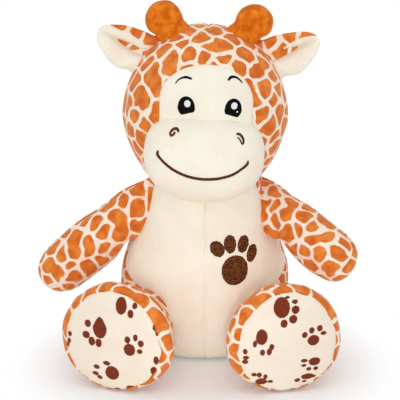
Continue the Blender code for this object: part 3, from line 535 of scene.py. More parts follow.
def horn_plush():
    cloth = plush("horn_plush", tone(255, 190, 120))
    marks = cloth.between(cloth.grain(0.0065, 3.0), 0.32, 0.72)
    orange = cloth.blend(marks, tone(208, 96, 4), tone(240, 138, 34))
    return cloth.wear(Base_Color=orange, Normal=pile_bump(cloth))


CREAM = cream_plush()
SOLE = sole_plush()
HORN = horn_plush()
print("made", CREAM.name, SOLE.name, HORN.name)

# %% [markdown]
# ## Thread
# The face and the chest paw are satin stitch: rows of shiny thread side by side. Each stitched piece
# stores how far a point lies across the rows, and a sine of that gives the thread its ridges. The
# colour is painted lighter on the ridge tops as a highlight.


# %% Embroidery thread
def thread(name, dark, light, roughness, pitch, gloss=0.25):
    silk = Finish(name, Roughness=roughness, Specular_IOR_Level=gloss)
    turns = silk.mark("stitch") * (2 * math.pi / pitch)
    ridge = silk.node("ShaderNodeMath", {"operation": "SINE"}, {0: turns})
    ridge = ridge * 0.5 + 0.5
    fuzz = silk.grain(0.0017, 3.0)
    # The colour is partly a painted highlight, lighter on the tops of the ridges, and partly random fuzz.
    colour = silk.blend(silk.between(ridge * 0.25 + fuzz, 0.35, 0.95), dark, light)
    return silk.wear(Base_Color=colour, Normal=silk.bump(ridge + fuzz * 0.5, THREAD_HEIGHT))


BLACK_THREAD = thread("black_thread", tone(5, 5, 4), tone(24, 23, 20), 0.7, 0.0011, gloss=0.05)
WHITE_THREAD = thread("white_thread", tone(246, 246, 248), tone(255, 255, 255), 0.6, 0.0008)
BROWN_THREAD = thread("brown_thread", tone(52, 22, 6), tone(132, 76, 40), 0.65, 0.0017, gloss=0.1)
LIP_THREAD = thread("lip_thread", tone(70, 30, 10), tone(120, 62, 30), 0.65, 0.0011, gloss=0.1)
print("made", BLACK_THREAD.name, WHITE_THREAD.name, BROWN_THREAD.name)

# %% [markdown]
# ## The torso
# The body is a pear that sits on a flat seat and ends above in a ball for the neck. It is sewn from a
# printed back and a cream belly with a seam down the middle. The printed cloth is made as the whole
# pear, and the belly is a padded panel laid over its front, whose rim dives into the seam.

# %% The torso's outline
CLOTH = 0.002
HIP_HALF_WIDTH = 0.064
HIP_HALF_DEPTH = 0.0485
NECK_RADIUS = 0.0425
NECK_PIVOT_Z = 0.1221
SHOULDER_LEAN = math.radians(17)
# Height and angle of the belly's side seam, which turns in above the legs and under the arms
SIDE_SEAM = ((0.0, -58), (0.035, -58), (0.047, -54), (0.054, -46), (0.060, -29), (0.066, -14),
             (0.073, -8), (0.083, -10), (0.097, -21), (0.110, -23), (0.127, -21), (0.170, -20))
SEAT_STATIONS = ((0.0, 0.54, 0.56), (0.008, 0.67, 0.69), (0.031, 0.80, 0.81), (0.078, 0.90, 0.905),
                 (0.157, 0.965, 0.965), (0.26, 1.0, 1.0), (0.37, 1.0, 1.0), (0.479, 0.985, 0.995))
SHOULDER_STATIONS = ((0.592, 0.78, 0.80), (0.693, 0.58, 0.61), (0.805, 0.38, 0.42), (0.911, 0.185, 0.24))
DOME_ROWS = 4
TORSO_ROWS = 190
TORSO_COLUMNS = 288
BELLY_COLUMNS = 140
BELLY_CROWD = 1.5
SIDE_TOP = NECK_PIVOT_Z + NECK_RADIUS * math.sin(SHOULDER_LEAN)


def torso_profile():
    """Stations of height, half width and half depth, from the seat to the top of the neck."""
    neck = NECK_RADIUS * math.cos(SHOULDER_LEAN)
    rows = [(SIDE_TOP * z, HIP_HALF_WIDTH * w, HIP_HALF_DEPTH * d) for z, w, d in SEAT_STATIONS]
    rows += [(SIDE_TOP * z, neck + (HIP_HALF_WIDTH - neck) * w, neck + (HIP_HALF_DEPTH - neck) * d)
             for z, w, d in SHOULDER_STATIONS]
    for rise in spread(SHOULDER_LEAN, math.pi / 2, DOME_ROWS):
        radius = NECK_RADIUS * math.cos(rise)
        rows.append((NECK_PIVOT_Z + NECK_RADIUS * math.sin(rise), radius, radius))
    return rows


TORSO_TABLE = through(torso_profile(), TORSO_ROWS)


def torso_size_at(z):
    """Half width and half depth of the torso at a height."""
    return (max(size, 1e-9) for size in in_table(TORSO_TABLE, z))


def side_seam_at(z):
    """The angle of the side seam at a height, from straight sideways towards the front."""
    return math.radians(*in_table(SIDE_SEAM, z))


def torso_row(row, angles):
    z, width, depth = row
    return ring(max(width, 0.0), max(depth, 0.0), z, angles)


# %% The printed coat of the torso
UNDER_PANEL = 0.0012
UNDER_PANEL_EASE = 0.002


def torso_press(place, normal):
    """Seams of the torso: down the middle of the back and along both sides of the belly."""
    width, depth = torso_size_at(place.z)
    angle = math.atan2(place.y / depth, abs(place.x) / width)
    seam = side_seam_at(place.z)
    side = abs(angle - seam) * (width + depth) / 2
    pull = seam_pull(place, side, depth=0.0014)
    if angle < seam:
        pull += UNDER_PANEL * min(side / UNDER_PANEL_EASE, 1.0)
    if place.y > 0:
        pull += seam_pull(place, abs(place.x))
    return pull + lumps(place)


def keep_above_floor(piece):
    for v in piece.data.vertices:
        v.co.z = max(v.co.z, 0.0)


coat = sew("torso_coat", [torso_row(row, around(TORSO_COLUMNS)) for row in TORSO_TABLE])
press(coat, torso_press)
keep_above_floor(coat)
print_patches(coat, *TORSO_PRINT)
dress(coat, PRINTED, ["back_left", "back_right", "seat_panel", "torso_stuffing", "pellet_bag"],
      "torso")


# %% [markdown]
# ## Panels that lie on a form
# The belly and the forehead are cream panels set into the printed cloth. Each is a thin pad: its front
# stands a little proud of the form in the middle, and its rim sinks into the seam.

# %% A panel laid over a form
PANEL_PROUD = 0.0005
RIM_SINK = 0.0012
RIM_WIDTH = 0.003


def rim_lift(distance):
    """How far a panel stands off its form at a distance from its rim."""
    return PANEL_PROUD - (PANEL_PROUD + RIM_SINK) * math.exp(-distance / RIM_WIDTH)


def panel(name, grid, normals, distances, sink=CLOTH):
    """A closed pad over a grid of points on a form."""
    bm = bmesh.new()
    front = [[p + n * rim_lift(d) for p, n, d in zip(*rows)] for rows in zip(grid, normals, distances)]
    back = [[p - n * sink for p, n in zip(*rows)] for rows in zip(grid, normals)]
    top, low = ([[bm.verts.new(p) for p in row] for row in layer] for layer in (front, back))
    tall, wide = len(grid), len(grid[0])
    for k in range(tall - 1):
        for i in range(wide - 1):
            bm.faces.new((top[k][i], top[k][i + 1], top[k + 1][i + 1], top[k + 1][i]))
            bm.faces.new((low[k][i], low[k + 1][i], low[k + 1][i + 1], low[k][i + 1]))
    rim = ([(0, i) for i in range(wide)] + [(k, wide - 1) for k in range(1, tall)]
           + [(tall - 1, i) for i in range(wide - 2, -1, -1)] + [(k, 0) for k in range(tall - 2, 0, -1)])
    for (k, i), (m, j) in zip(rim, rim[1:] + rim[:1]):
        bm.faces.new((top[k][i], low[k][i], low[m][j], top[m][j]))
    return to_piece(name, bm)


def grid_normals(grid, inside):
    """The outward direction at each point of a grid, away from a place inside the form."""
    normals = []
    for k, row in enumerate(grid):
        line = []
        for i, place in enumerate(row):
            across = row[min(i + 1, len(row) - 1)] - row[max(i - 1, 0)]
            up = grid[min(k + 1, len(grid) - 1)][i] - grid[max(k - 1, 0)][i]
            normal = across.cross(up)
            if normal.length < 1e-12:
                normal = place - inside
            normal.normalize()
            line.append(normal if normal.dot(place - inside) > 0 else -normal)
        normals.append(line)
    return normals


# %% The cream belly
BELLY_TOP = NECK_PIVOT_Z + NECK_RADIUS * 0.9
BELLY_SEAM_FOOT = 0.04
BELLY_SEAM_RISE = 0.09
BELLY_SEAM_SHARE = 0.6

grid = []
distances = []
for row in TORSO_TABLE:
    if row[0] < BELLY_TOP:
        half = math.pi / 2 + side_seam_at(row[0])
        line = [half * math.copysign(abs(t) ** BELLY_CROWD, t) - math.pi / 2
                for t in spread(-1, 1, BELLY_COLUMNS)]
        girth = (row[1] + row[2]) / 2
        grid.append(torso_row(row, line))
        distances.append([min(a - line[0], line[-1] - a) * girth for a in line])
normals = grid_normals(grid, Vector((0, 0, NECK_PIVOT_Z / 2)))
belly = panel("belly_cloth", grid, normals, distances)


def belly_press(place, normal):
    """The seam down the middle, which grows fainter towards the seat."""
    share = min(max((place.z - BELLY_SEAM_FOOT) / BELLY_SEAM_RISE, BELLY_SEAM_SHARE), 1.0)
    return seam_pull(place, abs(place.x), 0.0017, 0.0008, 0.0003) * share + lumps(place)


press(belly, belly_press)
keep_above_floor(belly)
BELLY_TREE = cloth_tree(belly)
dress(belly, CREAM, ["belly_left", "belly_right"], "torso")

# %% [markdown]
# ## The head
# The head is an egg that narrows towards the chin and leans a little to the toy's left. A seam runs
# over its top and down its back. Underneath, the egg is hollowed to sit on the ball of the neck, which
# lets the head turn and nod without the two cloths cutting each other.

# %% The head's egg
HEAD_HALF_WIDTH = 0.0615
HEAD_HALF_DEPTH = 0.057
HEAD_HALF_HEIGHT = 0.069
HEAD_RISE = 0.0587
HEAD_SET_BACK = -0.002
HEAD_SHIFT = -0.0024
HEAD_TAPER = 0.16
HEAD_TILT = math.radians(2.3)
HEAD_ROWS = 165
HEAD_COLUMNS = 300
NECK_PLACE = Matrix.Translation((0.0, 0.0, NECK_PIVOT_Z)) @ Matrix.Rotation(HEAD_TILT, 4, "Y")
HEAD_PLACE = NECK_PLACE @ Matrix.Translation((HEAD_SHIFT, 0.0, 0.0))
FOREHEAD_HALF_WIDTH = 0.0342
FOREHEAD_FOOT = HEAD_RISE - 0.05 * HEAD_HALF_HEIGHT
FOREHEAD_SPRING = HEAD_RISE + 0.338 * HEAD_HALF_HEIGHT
FOREHEAD_TOP = HEAD_RISE + 0.706 * HEAD_HALF_HEIGHT
FOREHEAD_CROWN = FOREHEAD_TOP - FOREHEAD_SPRING


def head_narrowing(up):
    return 1 - HEAD_TAPER * max(-up, 0.0)


def head_front(x, rise):
    """The y of the egg's front at a place across and up from the neck's pivot."""
    up = (rise - HEAD_RISE) / HEAD_HALF_HEIGHT
    narrow = head_narrowing(up)
    across = x / (HEAD_HALF_WIDTH * narrow)
    return HEAD_SET_BACK - HEAD_HALF_DEPTH * narrow * math.sqrt(max(1 - across ** 2 - up ** 2, 0.0))


def forehead_half_width(rise):
    up = max(rise - FOREHEAD_SPRING, 0.0) / FOREHEAD_CROWN
    return FOREHEAD_HALF_WIDTH * math.sqrt(max(1 - up ** 2, 0.0))


def arch_distance(x, rise):
    """About how far a place on the front lies from the forehead's arch."""
    if rise < FOREHEAD_SPRING:
        return abs(abs(x) - FOREHEAD_HALF_WIDTH)
    reach = math.hypot(x / FOREHEAD_HALF_WIDTH, (rise - FOREHEAD_SPRING) / FOREHEAD_CROWN)
    return abs(reach - 1) * (FOREHEAD_HALF_WIDTH + FOREHEAD_CROWN) / 2


# %% The muzzle's outline
MUZZLE_HALF_WIDTH = 0.0435
MUZZLE_HALF_HEIGHT = 0.032
MUZZLE_DEPTH = 0.033
MUZZLE_RISE = 0.0398
MUZZLE_ROOT_Y = -0.0465
MUZZLE_TOP_POWER = 2.9
MUZZLE_CHIN_POWER = 2.15
MUZZLE_CROWN_POWER = 2.3


def muzzle_reach(across, up):
    power = MUZZLE_TOP_POWER if up > 0 else MUZZLE_CHIN_POWER
    return (abs(across / MUZZLE_HALF_WIDTH) ** power + abs(up / MUZZLE_HALF_HEIGHT) ** power) ** (1 / power)


# %% The printed head
def head_press(place, normal):
    """Seams of the head: over the top and back, round the forehead and round the muzzle."""
    pull = lumps(place)
    if place.y > 0 or place.z > FOREHEAD_TOP:
        pull += seam_pull(place, abs(place.x), 0.0011, 0.0018)
    if place.y < 0:
        if place.z > FOREHEAD_FOOT:
            to_arch = arch_distance(place.x, place.z)
            pull += seam_pull(place, to_arch, 0.0013)
            if abs(place.x) < forehead_half_width(min(place.z, FOREHEAD_TOP)):
                pull += UNDER_PANEL * min(to_arch / UNDER_PANEL_EASE, 1.0)
        ring = abs(muzzle_reach(place.x, place.z - MUZZLE_RISE) - 1) * MUZZLE_HALF_HEIGHT
        pull += seam_pull(place, ring, 0.0016, 0.003)
    return pull


def clear_of_neck(piece, spare=0.0012):
    """Lifts the underside onto a ball just larger than the neck's."""
    reach = NECK_RADIUS + spare
    for v in piece.data.vertices:
        from_neck = v.co + Vector((HEAD_SHIFT, 0.0, 0.0))
        if from_neck.length < reach:
            v.co.z = math.sqrt(reach ** 2 - from_neck.x ** 2 - from_neck.y ** 2)


rows = []
for latitude in spread(-math.pi / 2, math.pi / 2, HEAD_ROWS):
    flat = max(math.cos(latitude), 0.0) * head_narrowing(math.sin(latitude))
    flat = 0.0 if abs(latitude) > math.pi / 2 - 1e-6 else flat
    rows.append(ring(HEAD_HALF_WIDTH * flat, HEAD_HALF_DEPTH * flat,
                     HEAD_RISE + HEAD_HALF_HEIGHT * math.sin(latitude), around(HEAD_COLUMNS), HEAD_SET_BACK))
head = sew("head_cloth", rows)
press(head, head_press)
clear_of_neck(head)
print_patches(head, *HEAD_PRINT, joined=0.2)
head.data.transform(HEAD_PLACE)
dress(head, PRINTED, ["head_left", "head_right", "head_stuffing", "neck_stuffing"],
      "head")

# %% The cream forehead
FOREHEAD_UNDER_MUZZLE = 0.012
FOREHEAD_SINK = 0.003
FOREHEAD_ROWS = 60
FOREHEAD_COLUMNS = 56
heights = spread(FOREHEAD_FOOT - FOREHEAD_UNDER_MUZZLE, FOREHEAD_SPRING, FOREHEAD_ROWS // 3)[:-1]
heights += [FOREHEAD_SPRING + FOREHEAD_CROWN * math.sin(a) for a in spread(0, math.pi / 2, FOREHEAD_ROWS)]
grid = []
distances = []
for rise in heights:
    half = forehead_half_width(rise)
    line = spread(-half, half, FOREHEAD_COLUMNS)
    grid.append([Vector((x, head_front(x, rise), rise)) for x in line])
    distances.append([min(arch_distance(x, rise), half - abs(x) if rise < FOREHEAD_SPRING else 1.0)
                      for x in line])
normals = []
for row in grid:
    normals.append([Vector((p.x / HEAD_HALF_WIDTH ** 2, (p.y - HEAD_SET_BACK) / HEAD_HALF_DEPTH ** 2,
                            (p.z - HEAD_RISE) / HEAD_HALF_HEIGHT ** 2)).normalized() for p in row])
forehead = panel("forehead_cloth", grid, normals, distances, sink=FOREHEAD_SINK)
press(forehead, lambda place, normal: lumps(place))
FOREHEAD_TREE = cloth_tree(forehead)
forehead.data.transform(HEAD_PLACE)
dress(forehead, CREAM, ["forehead_panel"], "head")

# %% [markdown]
# ## The muzzle
# The muzzle is the fullest pillow of the toy: wide, square above and round at the chin. Rings run from
# its tip to its widest outline and then draw in towards the seam on the head.

# %% The muzzle's pillow
MUZZLE_COLUMNS = 140
MUZZLE_CROWN_ROWS = 44
MUZZLE_SLEEVE_ROWS = 14
MUZZLE_SLEEVE = 0.030
MUZZLE_DRAW_IN = 0.16

outline = []
for angle in around(MUZZLE_COLUMNS):
    reach = muzzle_reach(math.cos(angle), math.sin(angle))
    outline.append((math.cos(angle) / reach, math.sin(angle) / reach))
rows = []
for lean in spread(0.0, math.pi / 2, MUZZLE_CROWN_ROWS):
    share = math.sin(lean)
    y = MUZZLE_ROOT_Y - MUZZLE_DEPTH * max(1 - share ** MUZZLE_CROWN_POWER, 0.0) ** (1 / MUZZLE_CROWN_POWER)
    rows.append([Vector((x * share, y, MUZZLE_RISE + z * share)) for x, z in outline])
for step in spread(0.0, 1.0, MUZZLE_SLEEVE_ROWS)[1:]:
    size = 1 - MUZZLE_DRAW_IN * step ** 1.6
    rows.append([Vector((x * size, MUZZLE_ROOT_Y + MUZZLE_SLEEVE * step, MUZZLE_RISE + z * size))
                 for x, z in outline])
muzzle = sew("muzzle_cloth", rows)


def muzzle_press(place, normal):
    """Gathers where the pillow meets the head, and the slow lumps of its stuffing."""
    to_head = abs(place.y - head_front(place.x, place.z))
    return 0.0005 * rough(place, 0.005, 2.2) * math.exp(-to_head / 0.006) + lumps(place, 0.0005, 0.02)


press(muzzle, muzzle_press)
clear_of_neck(muzzle)
MUZZLE_TREE = cloth_tree(muzzle)
muzzle.data.transform(HEAD_PLACE)
dress(muzzle, CREAM, ["muzzle", "muzzle_stuffing"], "head")

# %% [markdown]
# ## The stitched face
# Eyes, highlights, brows, nostrils and smile are embroidered through the cloth, so they follow its
# curve and stand up by less than a millimetre. A ray from the front finds the cloth under each stitch.


# %% Stitched patches and lines
STITCH_SINK = 0.0008
LINE_SIDES = 12


def lay(tree, x, rise):
    """The y of a cloth's front at a place across and up."""
    return tree.ray_cast(Vector((x, -1.0, rise)), Vector((0.0, 1.0, 0.0)))[0].y


def stitched_patch(name, outline, tree, height=0.0009, lift=0.0, rows=9, rings=False):
    """A domed patch inside an outline of places across and up, stitched across or in rings."""
    centre = Vector((sum(p[0] for p in outline), sum(p[1] for p in outline))) / len(outline)
    layers = []
    for share in (math.sin(a) for a in spread(0.0, math.pi / 2, rows)):
        layers.append((share, height * math.sqrt(max(1 - share ** 4, 0.0)) + lift))
    layers += [(1.0, -STITCH_SINK), (0.0, -STITCH_SINK)]
    grid = []
    for share, dome in layers:
        spots = [centre + (Vector(p) - centre) * share for p in outline]
        grid.append([Vector((x, lay(tree, x, z) - dome, z)) for x, z in spots])
    piece = sew(name, grid)
    reach = max((Vector(p) - centre).length for p in outline)
    offsets = [Vector((v.co.x, v.co.z)) - centre for v in piece.data.vertices]
    store(piece, "stitch", [reach - offset.length if rings else offset.x for offset in offsets])
    return piece


def stitched_line(name, places, tree, widen=1.0, height=0.0008, count=60):
    """A raised line of stitches through places across and up, each with its width, all in mm."""
    path = through([(x * MM, z * MM, width * widen * MM) for x, z, width in places], count, (1.0, 1.0, 0.0))
    spots = [Vector((x, z)) for x, z, _ in path]
    rows = []
    run = 0.0
    for k, (place, (_, _, width)) in enumerate(zip(spots, path)):
        along = (spots[min(k + 1, count)] - spots[max(k - 1, 0)]).normalized()
        run += (place - spots[k - 1]).length if k else 0.0
        square = Vector((-along.y, along.x))
        row = []
        for angle in around(LINE_SIDES):
            x, z = place + square * (width / 2 * math.cos(angle))
            row.append(Vector((x, lay(tree, x, z) - height * math.sin(angle), z)))
        rows.append(row)
    piece = sew(name, rows)
    lookup = KDTree(len(spots))
    for k, (x, z) in enumerate(spots):
        lookup.insert((x, z, 0.0), k)
    lookup.balance()
    step = run / count
    store(piece, "stitch", [lookup.find((v.co.x, v.co.z, 0.0))[1] * step for v in piece.data.vertices])
    return piece


def turned(place, centre, angle):
    x, z = place[0] - centre[0], place[1] - centre[1]
    return (centre[0] + x * math.cos(angle) - z * math.sin(angle),
            centre[1] + x * math.sin(angle) + z * math.cos(angle))


def ellipse(centre, half_width, half_height, turn=0.0, count=40):
    return [turned((centre[0] + half_width * math.cos(a), centre[1] + half_height * math.sin(a)),
                   centre, turn) for a in around(count)]


def wear_on_head(piece, material, *nodes):
    """Seats a stitched piece on the head and dresses it."""
    piece.data.transform(HEAD_PLACE)
    dress(piece, material, nodes, "head")


# %% Eyes and highlights
EYE_SHIFT = 0.0024
EYE_HALF_SPACING = 0.0167
EYE_RISE = HEAD_RISE + 0.287 * HEAD_HALF_HEIGHT
EYE_HALF_WIDTH = 0.0060
EYE_HALF_HEIGHT = 0.0070
EYE_FLAT_SHARE = 0.72
EYE_SLANT_SHARE = 0.28
EYE_FOOT_SWELL = 1.06
EYE_LINE_TURN = math.radians(-1.1)
EYE_POINTS = 56
GLINT_SHIFT = 0.0007
GLINT_RISE = 0.0022
GLINT_HALF_WIDTH = 0.0023
GLINT_HALF_HEIGHT = 0.002438
SMALL_GLINT_PLACE = (0.0220, 0.0762)
SMALL_GLINT_RADIUS = 0.0006


def eye_outline(centre, side):
    """A domed eye whose foot is cut off on a slant, lower on the outside."""
    places = []
    for angle in around(EYE_POINTS):
        x = EYE_HALF_WIDTH * math.cos(angle)
        foot = -EYE_HALF_HEIGHT * (EYE_FLAT_SHARE + EYE_SLANT_SHARE * side * x / EYE_HALF_WIDTH)
        z = max(EYE_HALF_HEIGHT * math.sin(angle), foot)
        swell = EYE_FOOT_SWELL if angle > math.pi else 1.0
        places.append((centre[0] + x * swell, centre[1] + z))
    return places


for side, sign in SIDES.items():
    place = turned((EYE_SHIFT + sign * EYE_HALF_SPACING, EYE_RISE), (0.0, EYE_RISE), EYE_LINE_TURN)
    eye = stitched_patch("eye_stitching_" + side, eye_outline(place, sign), FOREHEAD_TREE)
    wear_on_head(eye, BLACK_THREAD, "eye_" + side)
    spot = ellipse((place[0] + GLINT_SHIFT, place[1] + GLINT_RISE), GLINT_HALF_WIDTH, GLINT_HALF_HEIGHT)
    glint = stitched_patch("eye_highlight_" + side, spot, FOREHEAD_TREE, height=0.0005, lift=0.0008, rows=5)
    wear_on_head(glint, WHITE_THREAD, "eye_glint_" + side)

spot = ellipse(SMALL_GLINT_PLACE, SMALL_GLINT_RADIUS, SMALL_GLINT_RADIUS, count=16)
small = stitched_patch("eye_highlight_small", spot, FOREHEAD_TREE, height=0.0004, lift=0.0009, rows=3)
wear_on_head(small, WHITE_THREAD)

# %% [markdown]
# The brows, the nostrils and the smile are single lines of stitches. Each is drawn through a short list
# of places on the face, in mm across from the head's middle and up from the neck, with the width of
# the line at each place. The smile ends in a small upright stitch on either side.

# %% Brows, nostrils and smile
BROWS = {
    "left": ((14.9, 97.3, 1.5), (16.3, 98.9, 2.0), (18.3, 99.4, 1.6), (20.8, 98.7, 1.2), (23.3, 97.0, 0.9),
             (25.1, 95.1, 0.6)),
    "right": ((-22.7, 93.4, 0.6), (-20.7, 95.8, 0.9), (-17.9, 97.5, 1.2), (-15.1, 98.2, 1.6),
              (-11.1, 97.5, 1.3)),
}
NOSTRILS = {
    "left": ((21.7, 63.6, 1.3), (23.9, 63.3, 1.7), (25.9, 61.6, 1.8), (27.0, 59.3, 1.8), (26.6, 57.2, 1.5),
             (25.5, 58.0, 1.1), (24.3, 60.2, 1.0), (22.5, 61.6, 0.8)),
    "right": ((-19.0, 63.6, 1.8), (-19.9, 65.0, 2.0), (-21.9, 65.1, 1.8), (-23.8, 64.0, 1.7),
              (-25.0, 62.2, 1.7), (-24.6, 61.0, 1.6), (-22.9, 61.5, 1.6), (-21.5, 63.3, 1.7)),
}
SMILE = ((-33.2, 49.6, 1.1), (-33.3, 46.6, 2.0), (-30.9, 44.0, 1.7), (-28.0, 41.6, 1.8), (-21.3, 37.5, 1.9),
         (-11.9, 34.0, 1.9), (-1.7, 32.4, 1.9), (6.5, 32.6, 1.9), (11.3, 33.3, 1.9), (19.8, 35.8, 1.8),
         (26.4, 39.6, 1.7), (30.4, 42.8, 1.8), (30.8, 45.2, 0.9))
NOSTRIL_WIDTH_SHARE = 0.88
SMILE_WIDTH_SHARE = 1.15

for side in SIDES:
    brow = stitched_line("brow_stitching_" + side, BROWS[side], FOREHEAD_TREE, height=0.0006)
    wear_on_head(brow, BLACK_THREAD, "brow_" + side)
for side in SIDES:
    nostril = stitched_line("nostril_stitching_" + side, NOSTRILS[side], MUZZLE_TREE, NOSTRIL_WIDTH_SHARE)
    wear_on_head(nostril, LIP_THREAD, "nostril_" + side)
smile = stitched_line("smile_stitching", SMILE, MUZZLE_TREE, SMILE_WIDTH_SHARE, count=150)
wear_on_head(smile, LIP_THREAD, "smile")

# %% [markdown]
# ## Ears
# Each ear is a leaf of two layers. The printed back layer folds forward over the top edge and shows as
# a strip, and the cream lining fills the rest of the front, with a hollow fold along its middle. The
# lining's colour is painted darker along the fold as shade.

# %% The ear's leaf
EAR_LENGTH = 0.035
EAR_ROOT_HALF = 0.0162
EAR_BELLY = 0.0180
EAR_DROOP = 0.007
EAR_THICKNESS = 0.0044
EAR_CUP = 0.006
EAR_RISE = HEAD_RISE + 0.659 * HEAD_HALF_HEIGHT
EAR_TIP_POWER = 1.4
EAR_BELLY_SHARE = 0.27
EAR_SUNK = 0.006
EAR_STRIP = {"left": (0.20, 0.48), "right": (0.46, 0.52)}
EAR_BACK_FRONT = 0.0019
EAR_BACK_ROLL = 0.0013
EAR_BACK_DEPTH = 0.0022
LINING_FOOT = -1.06
LINING_FRONT = 0.0036
LINING_ROLL = 0.0022
LINING_DEPTH = 0.0008
FOLD_DEPTH = 0.0042
EAR_ROWS = 46
EAR_COLUMNS = 34


def ear_root(side):
    sign = SIDES[side]
    x = HEAD_HALF_WIDTH * math.sqrt(1 - ((EAR_RISE - HEAD_RISE) / HEAD_HALF_HEIGHT) ** 2)
    out = Vector((x / HEAD_HALF_WIDTH ** 2, 0.0,
                  (EAR_RISE - HEAD_RISE) / HEAD_HALF_HEIGHT ** 2)).normalized()
    place = Vector((x, HEAD_SET_BACK, EAR_RISE)) + out * (EAR_THICKNESS / 2 + 0.0003)
    up = Vector((-out.z, 0.0, out.x))
    for vector in (place, out, up):
        vector.x *= sign
    return place, out, up


def ear_surface(side, low_t, high_t, front_lift, back_lift):
    """A closed leaf between two places across the ear, with its front and back at given levels."""
    _, out, up = ear_root(side)
    front = []
    back = []
    for angle in spread(0.0, math.pi / 2, EAR_ROWS):
        reach = -EAR_SUNK + (EAR_LENGTH + EAR_SUNK) * math.sin(angle)
        share = max(reach, 0.0) / EAR_LENGTH
        swell = math.sin(math.pi / 2 * min(share / EAR_BELLY_SHARE, 1.0)) ** 2
        taper = math.sqrt(max(1 - share ** EAR_TIP_POWER, 0.0))
        half_width = (EAR_ROOT_HALF + (EAR_BELLY - EAR_ROOT_HALF) * swell) * taper
        middle = -EAR_DROOP * math.sqrt(share)
        rows = ([], [])
        low, high = low_t(share), high_t(share)
        for t in spread(low, high, EAR_COLUMNS):
            within = (2 * t - low - high) / max(high - low, 1e-6)
            round_edge = math.sqrt(max(1 - within ** 4, 0.0)) * math.sqrt(max(taper, 0.0))
            cup = EAR_CUP * swell * taper * (1 - t * t)
            base = out * reach + up * (middle + half_width * t) + Vector((0, cup, 0))
            rows[0].append(base + Vector((0, -front_lift(t, share) * round_edge, 0)))
            rows[1].append(base + Vector((0, back_lift(t, share) * round_edge, 0)))
        front.append(rows[0])
        back.append(rows[1])
    return front, back


def fold_shape(t, share):
    """From 0 to 1 along the fold that runs out from the ear's root under the printed strip."""
    return crease(t - 0.04 + 0.1 * share, 0.17) * max(1 - share / 0.95, 0.0) ** 0.7


def ear_fold(t, share):
    """How far the lining dips along the fold."""
    return FOLD_DEPTH * fold_shape(t, share)


def fold_shade_at(side, place):
    """The fold's shape at a place on the lining, which sets how much painted shade the lining gets there."""
    _, out, up = ear_root(side)
    share = max(place.dot(out), 0.0) / EAR_LENGTH
    half_width = EAR_BELLY * math.sqrt(max(1 - share ** EAR_TIP_POWER, 0.05))
    return fold_shape((place.dot(up) + EAR_DROOP * math.sqrt(share)) / half_width, share)


for side in SIDES:
    place, out, up = ear_root(side)
    ear_matrix = HEAD_PLACE @ Matrix.Translation(place)
    front, back = ear_surface(side, lambda s: -1.0, lambda s: 1.0,
                              lambda t, s: EAR_BACK_FRONT + EAR_BACK_ROLL * crease(t - 0.85, 0.3),
                              lambda t, s: EAR_BACK_DEPTH)
    cover = pad_between("ear_back_cloth_" + side, front, back)
    press(cover, lambda p, n: lumps(p, 0.0006, 0.012))
    print_patches(cover, *EAR_PRINTS[side])
    cover.data.transform(ear_matrix)
    dress(cover, PRINTED, ["ear_back_" + side], "ear_" + side)
    start, rise = EAR_STRIP[side]
    front, back = ear_surface(
        side, lambda s: LINING_FOOT, lambda s: start + rise * s,
        lambda t, s: LINING_FRONT - ear_fold(t, s) + LINING_ROLL * crease(t + 0.55, 0.4),
        lambda t, s: LINING_DEPTH)
    lining = pad_between("ear_lining_cloth_" + side, front, back)
    # The fold mark paints the lining darker along its fold, a painted shade in the crease.
    store(lining, "fold", [fold_shade_at(side, v.co) for v in lining.data.vertices])
    press(lining, lambda p, n: lumps(p, 0.0005, 0.01))
    lining.data.transform(ear_matrix)
    dress(lining, CREAM, ["ear_lining_" + side], "ear_" + side)

# %% [markdown]
# ## Horns
# A horn is a stuffed knob of plain orange plush with a broad base. Its skin is turned from a profile,
# from inside the head up over the ball, and gathered a little where it is sewn on.

# %% The horns' knobs
HORN_OFFSET = 0.0275
HORN_BALL_RADIUS = 0.0138
HORN_BALL_RISE = 0.0115
HORN_ROOT_RADIUS = 0.0118
HORN_ROWS = 54
HORN_COLUMNS = 64
HORN_LEAN = 0.0024
HORN_LEAN_POWER = 1.3
HORN_GATHERS = 9
HORN_GATHER_DEPTH = 0.0006
HORN_GATHER_RISE = 0.003
HORN_STATIONS = ((0.0001, -0.0060), (0.0075, -0.0052), (HORN_ROOT_RADIUS, -0.0020),
                 (HORN_ROOT_RADIUS, 0.0010))
horn_profile = list(HORN_STATIONS)
for angle in spread(math.radians(-30), math.pi / 2, 6):
    horn_profile.append((HORN_BALL_RADIUS * math.cos(angle),
                         HORN_BALL_RISE + HORN_BALL_RADIUS * math.sin(angle)))
horn_rise = HEAD_RISE + HEAD_HALF_HEIGHT * math.sqrt(1 - (HORN_OFFSET / HEAD_HALF_WIDTH) ** 2)

for side, sign in SIDES.items():
    out = Vector((HORN_OFFSET / HEAD_HALF_WIDTH ** 2, 0.0,
                  (horn_rise - HEAD_RISE) / HEAD_HALF_HEIGHT ** 2)).normalized()
    out.x *= sign
    root = Vector((sign * HORN_OFFSET, HEAD_SET_BACK, horn_rise))
    turn = Vector((0, 0, 1)).rotation_difference(out).to_matrix().to_4x4()
    rows = [ring(max(radius, 0.0), max(radius, 0.0), height, around(HORN_COLUMNS))
            for radius, height in through(horn_profile, HORN_ROWS)]
    rows[0] = [Vector((0, 0, rows[0][0].z))] * HORN_COLUMNS
    rows[-1] = [Vector((0, 0, rows[-1][0].z))] * HORN_COLUMNS
    horn = sew("horn_cloth_" + side, rows)
    for v in horn.data.vertices:
        low = max(1 - v.co.z / HORN_BALL_RISE, 0.0)
        v.co.x -= sign * HORN_LEAN * min(low, 1.0) ** HORN_LEAN_POWER
    press(horn, lambda p, n: lumps(p, 0.0009, 0.009)
          + HORN_GATHER_DEPTH * math.sin(HORN_GATHERS * math.atan2(p.y, p.x))
          * math.exp(-abs(p.z) / HORN_GATHER_RISE))
    horn.data.transform(HEAD_PLACE @ Matrix.Translation(root) @ turn)
    dress(horn, HORN, ["horn_cover_" + side, "horn_stuffing_" + side], "horn_" + side)
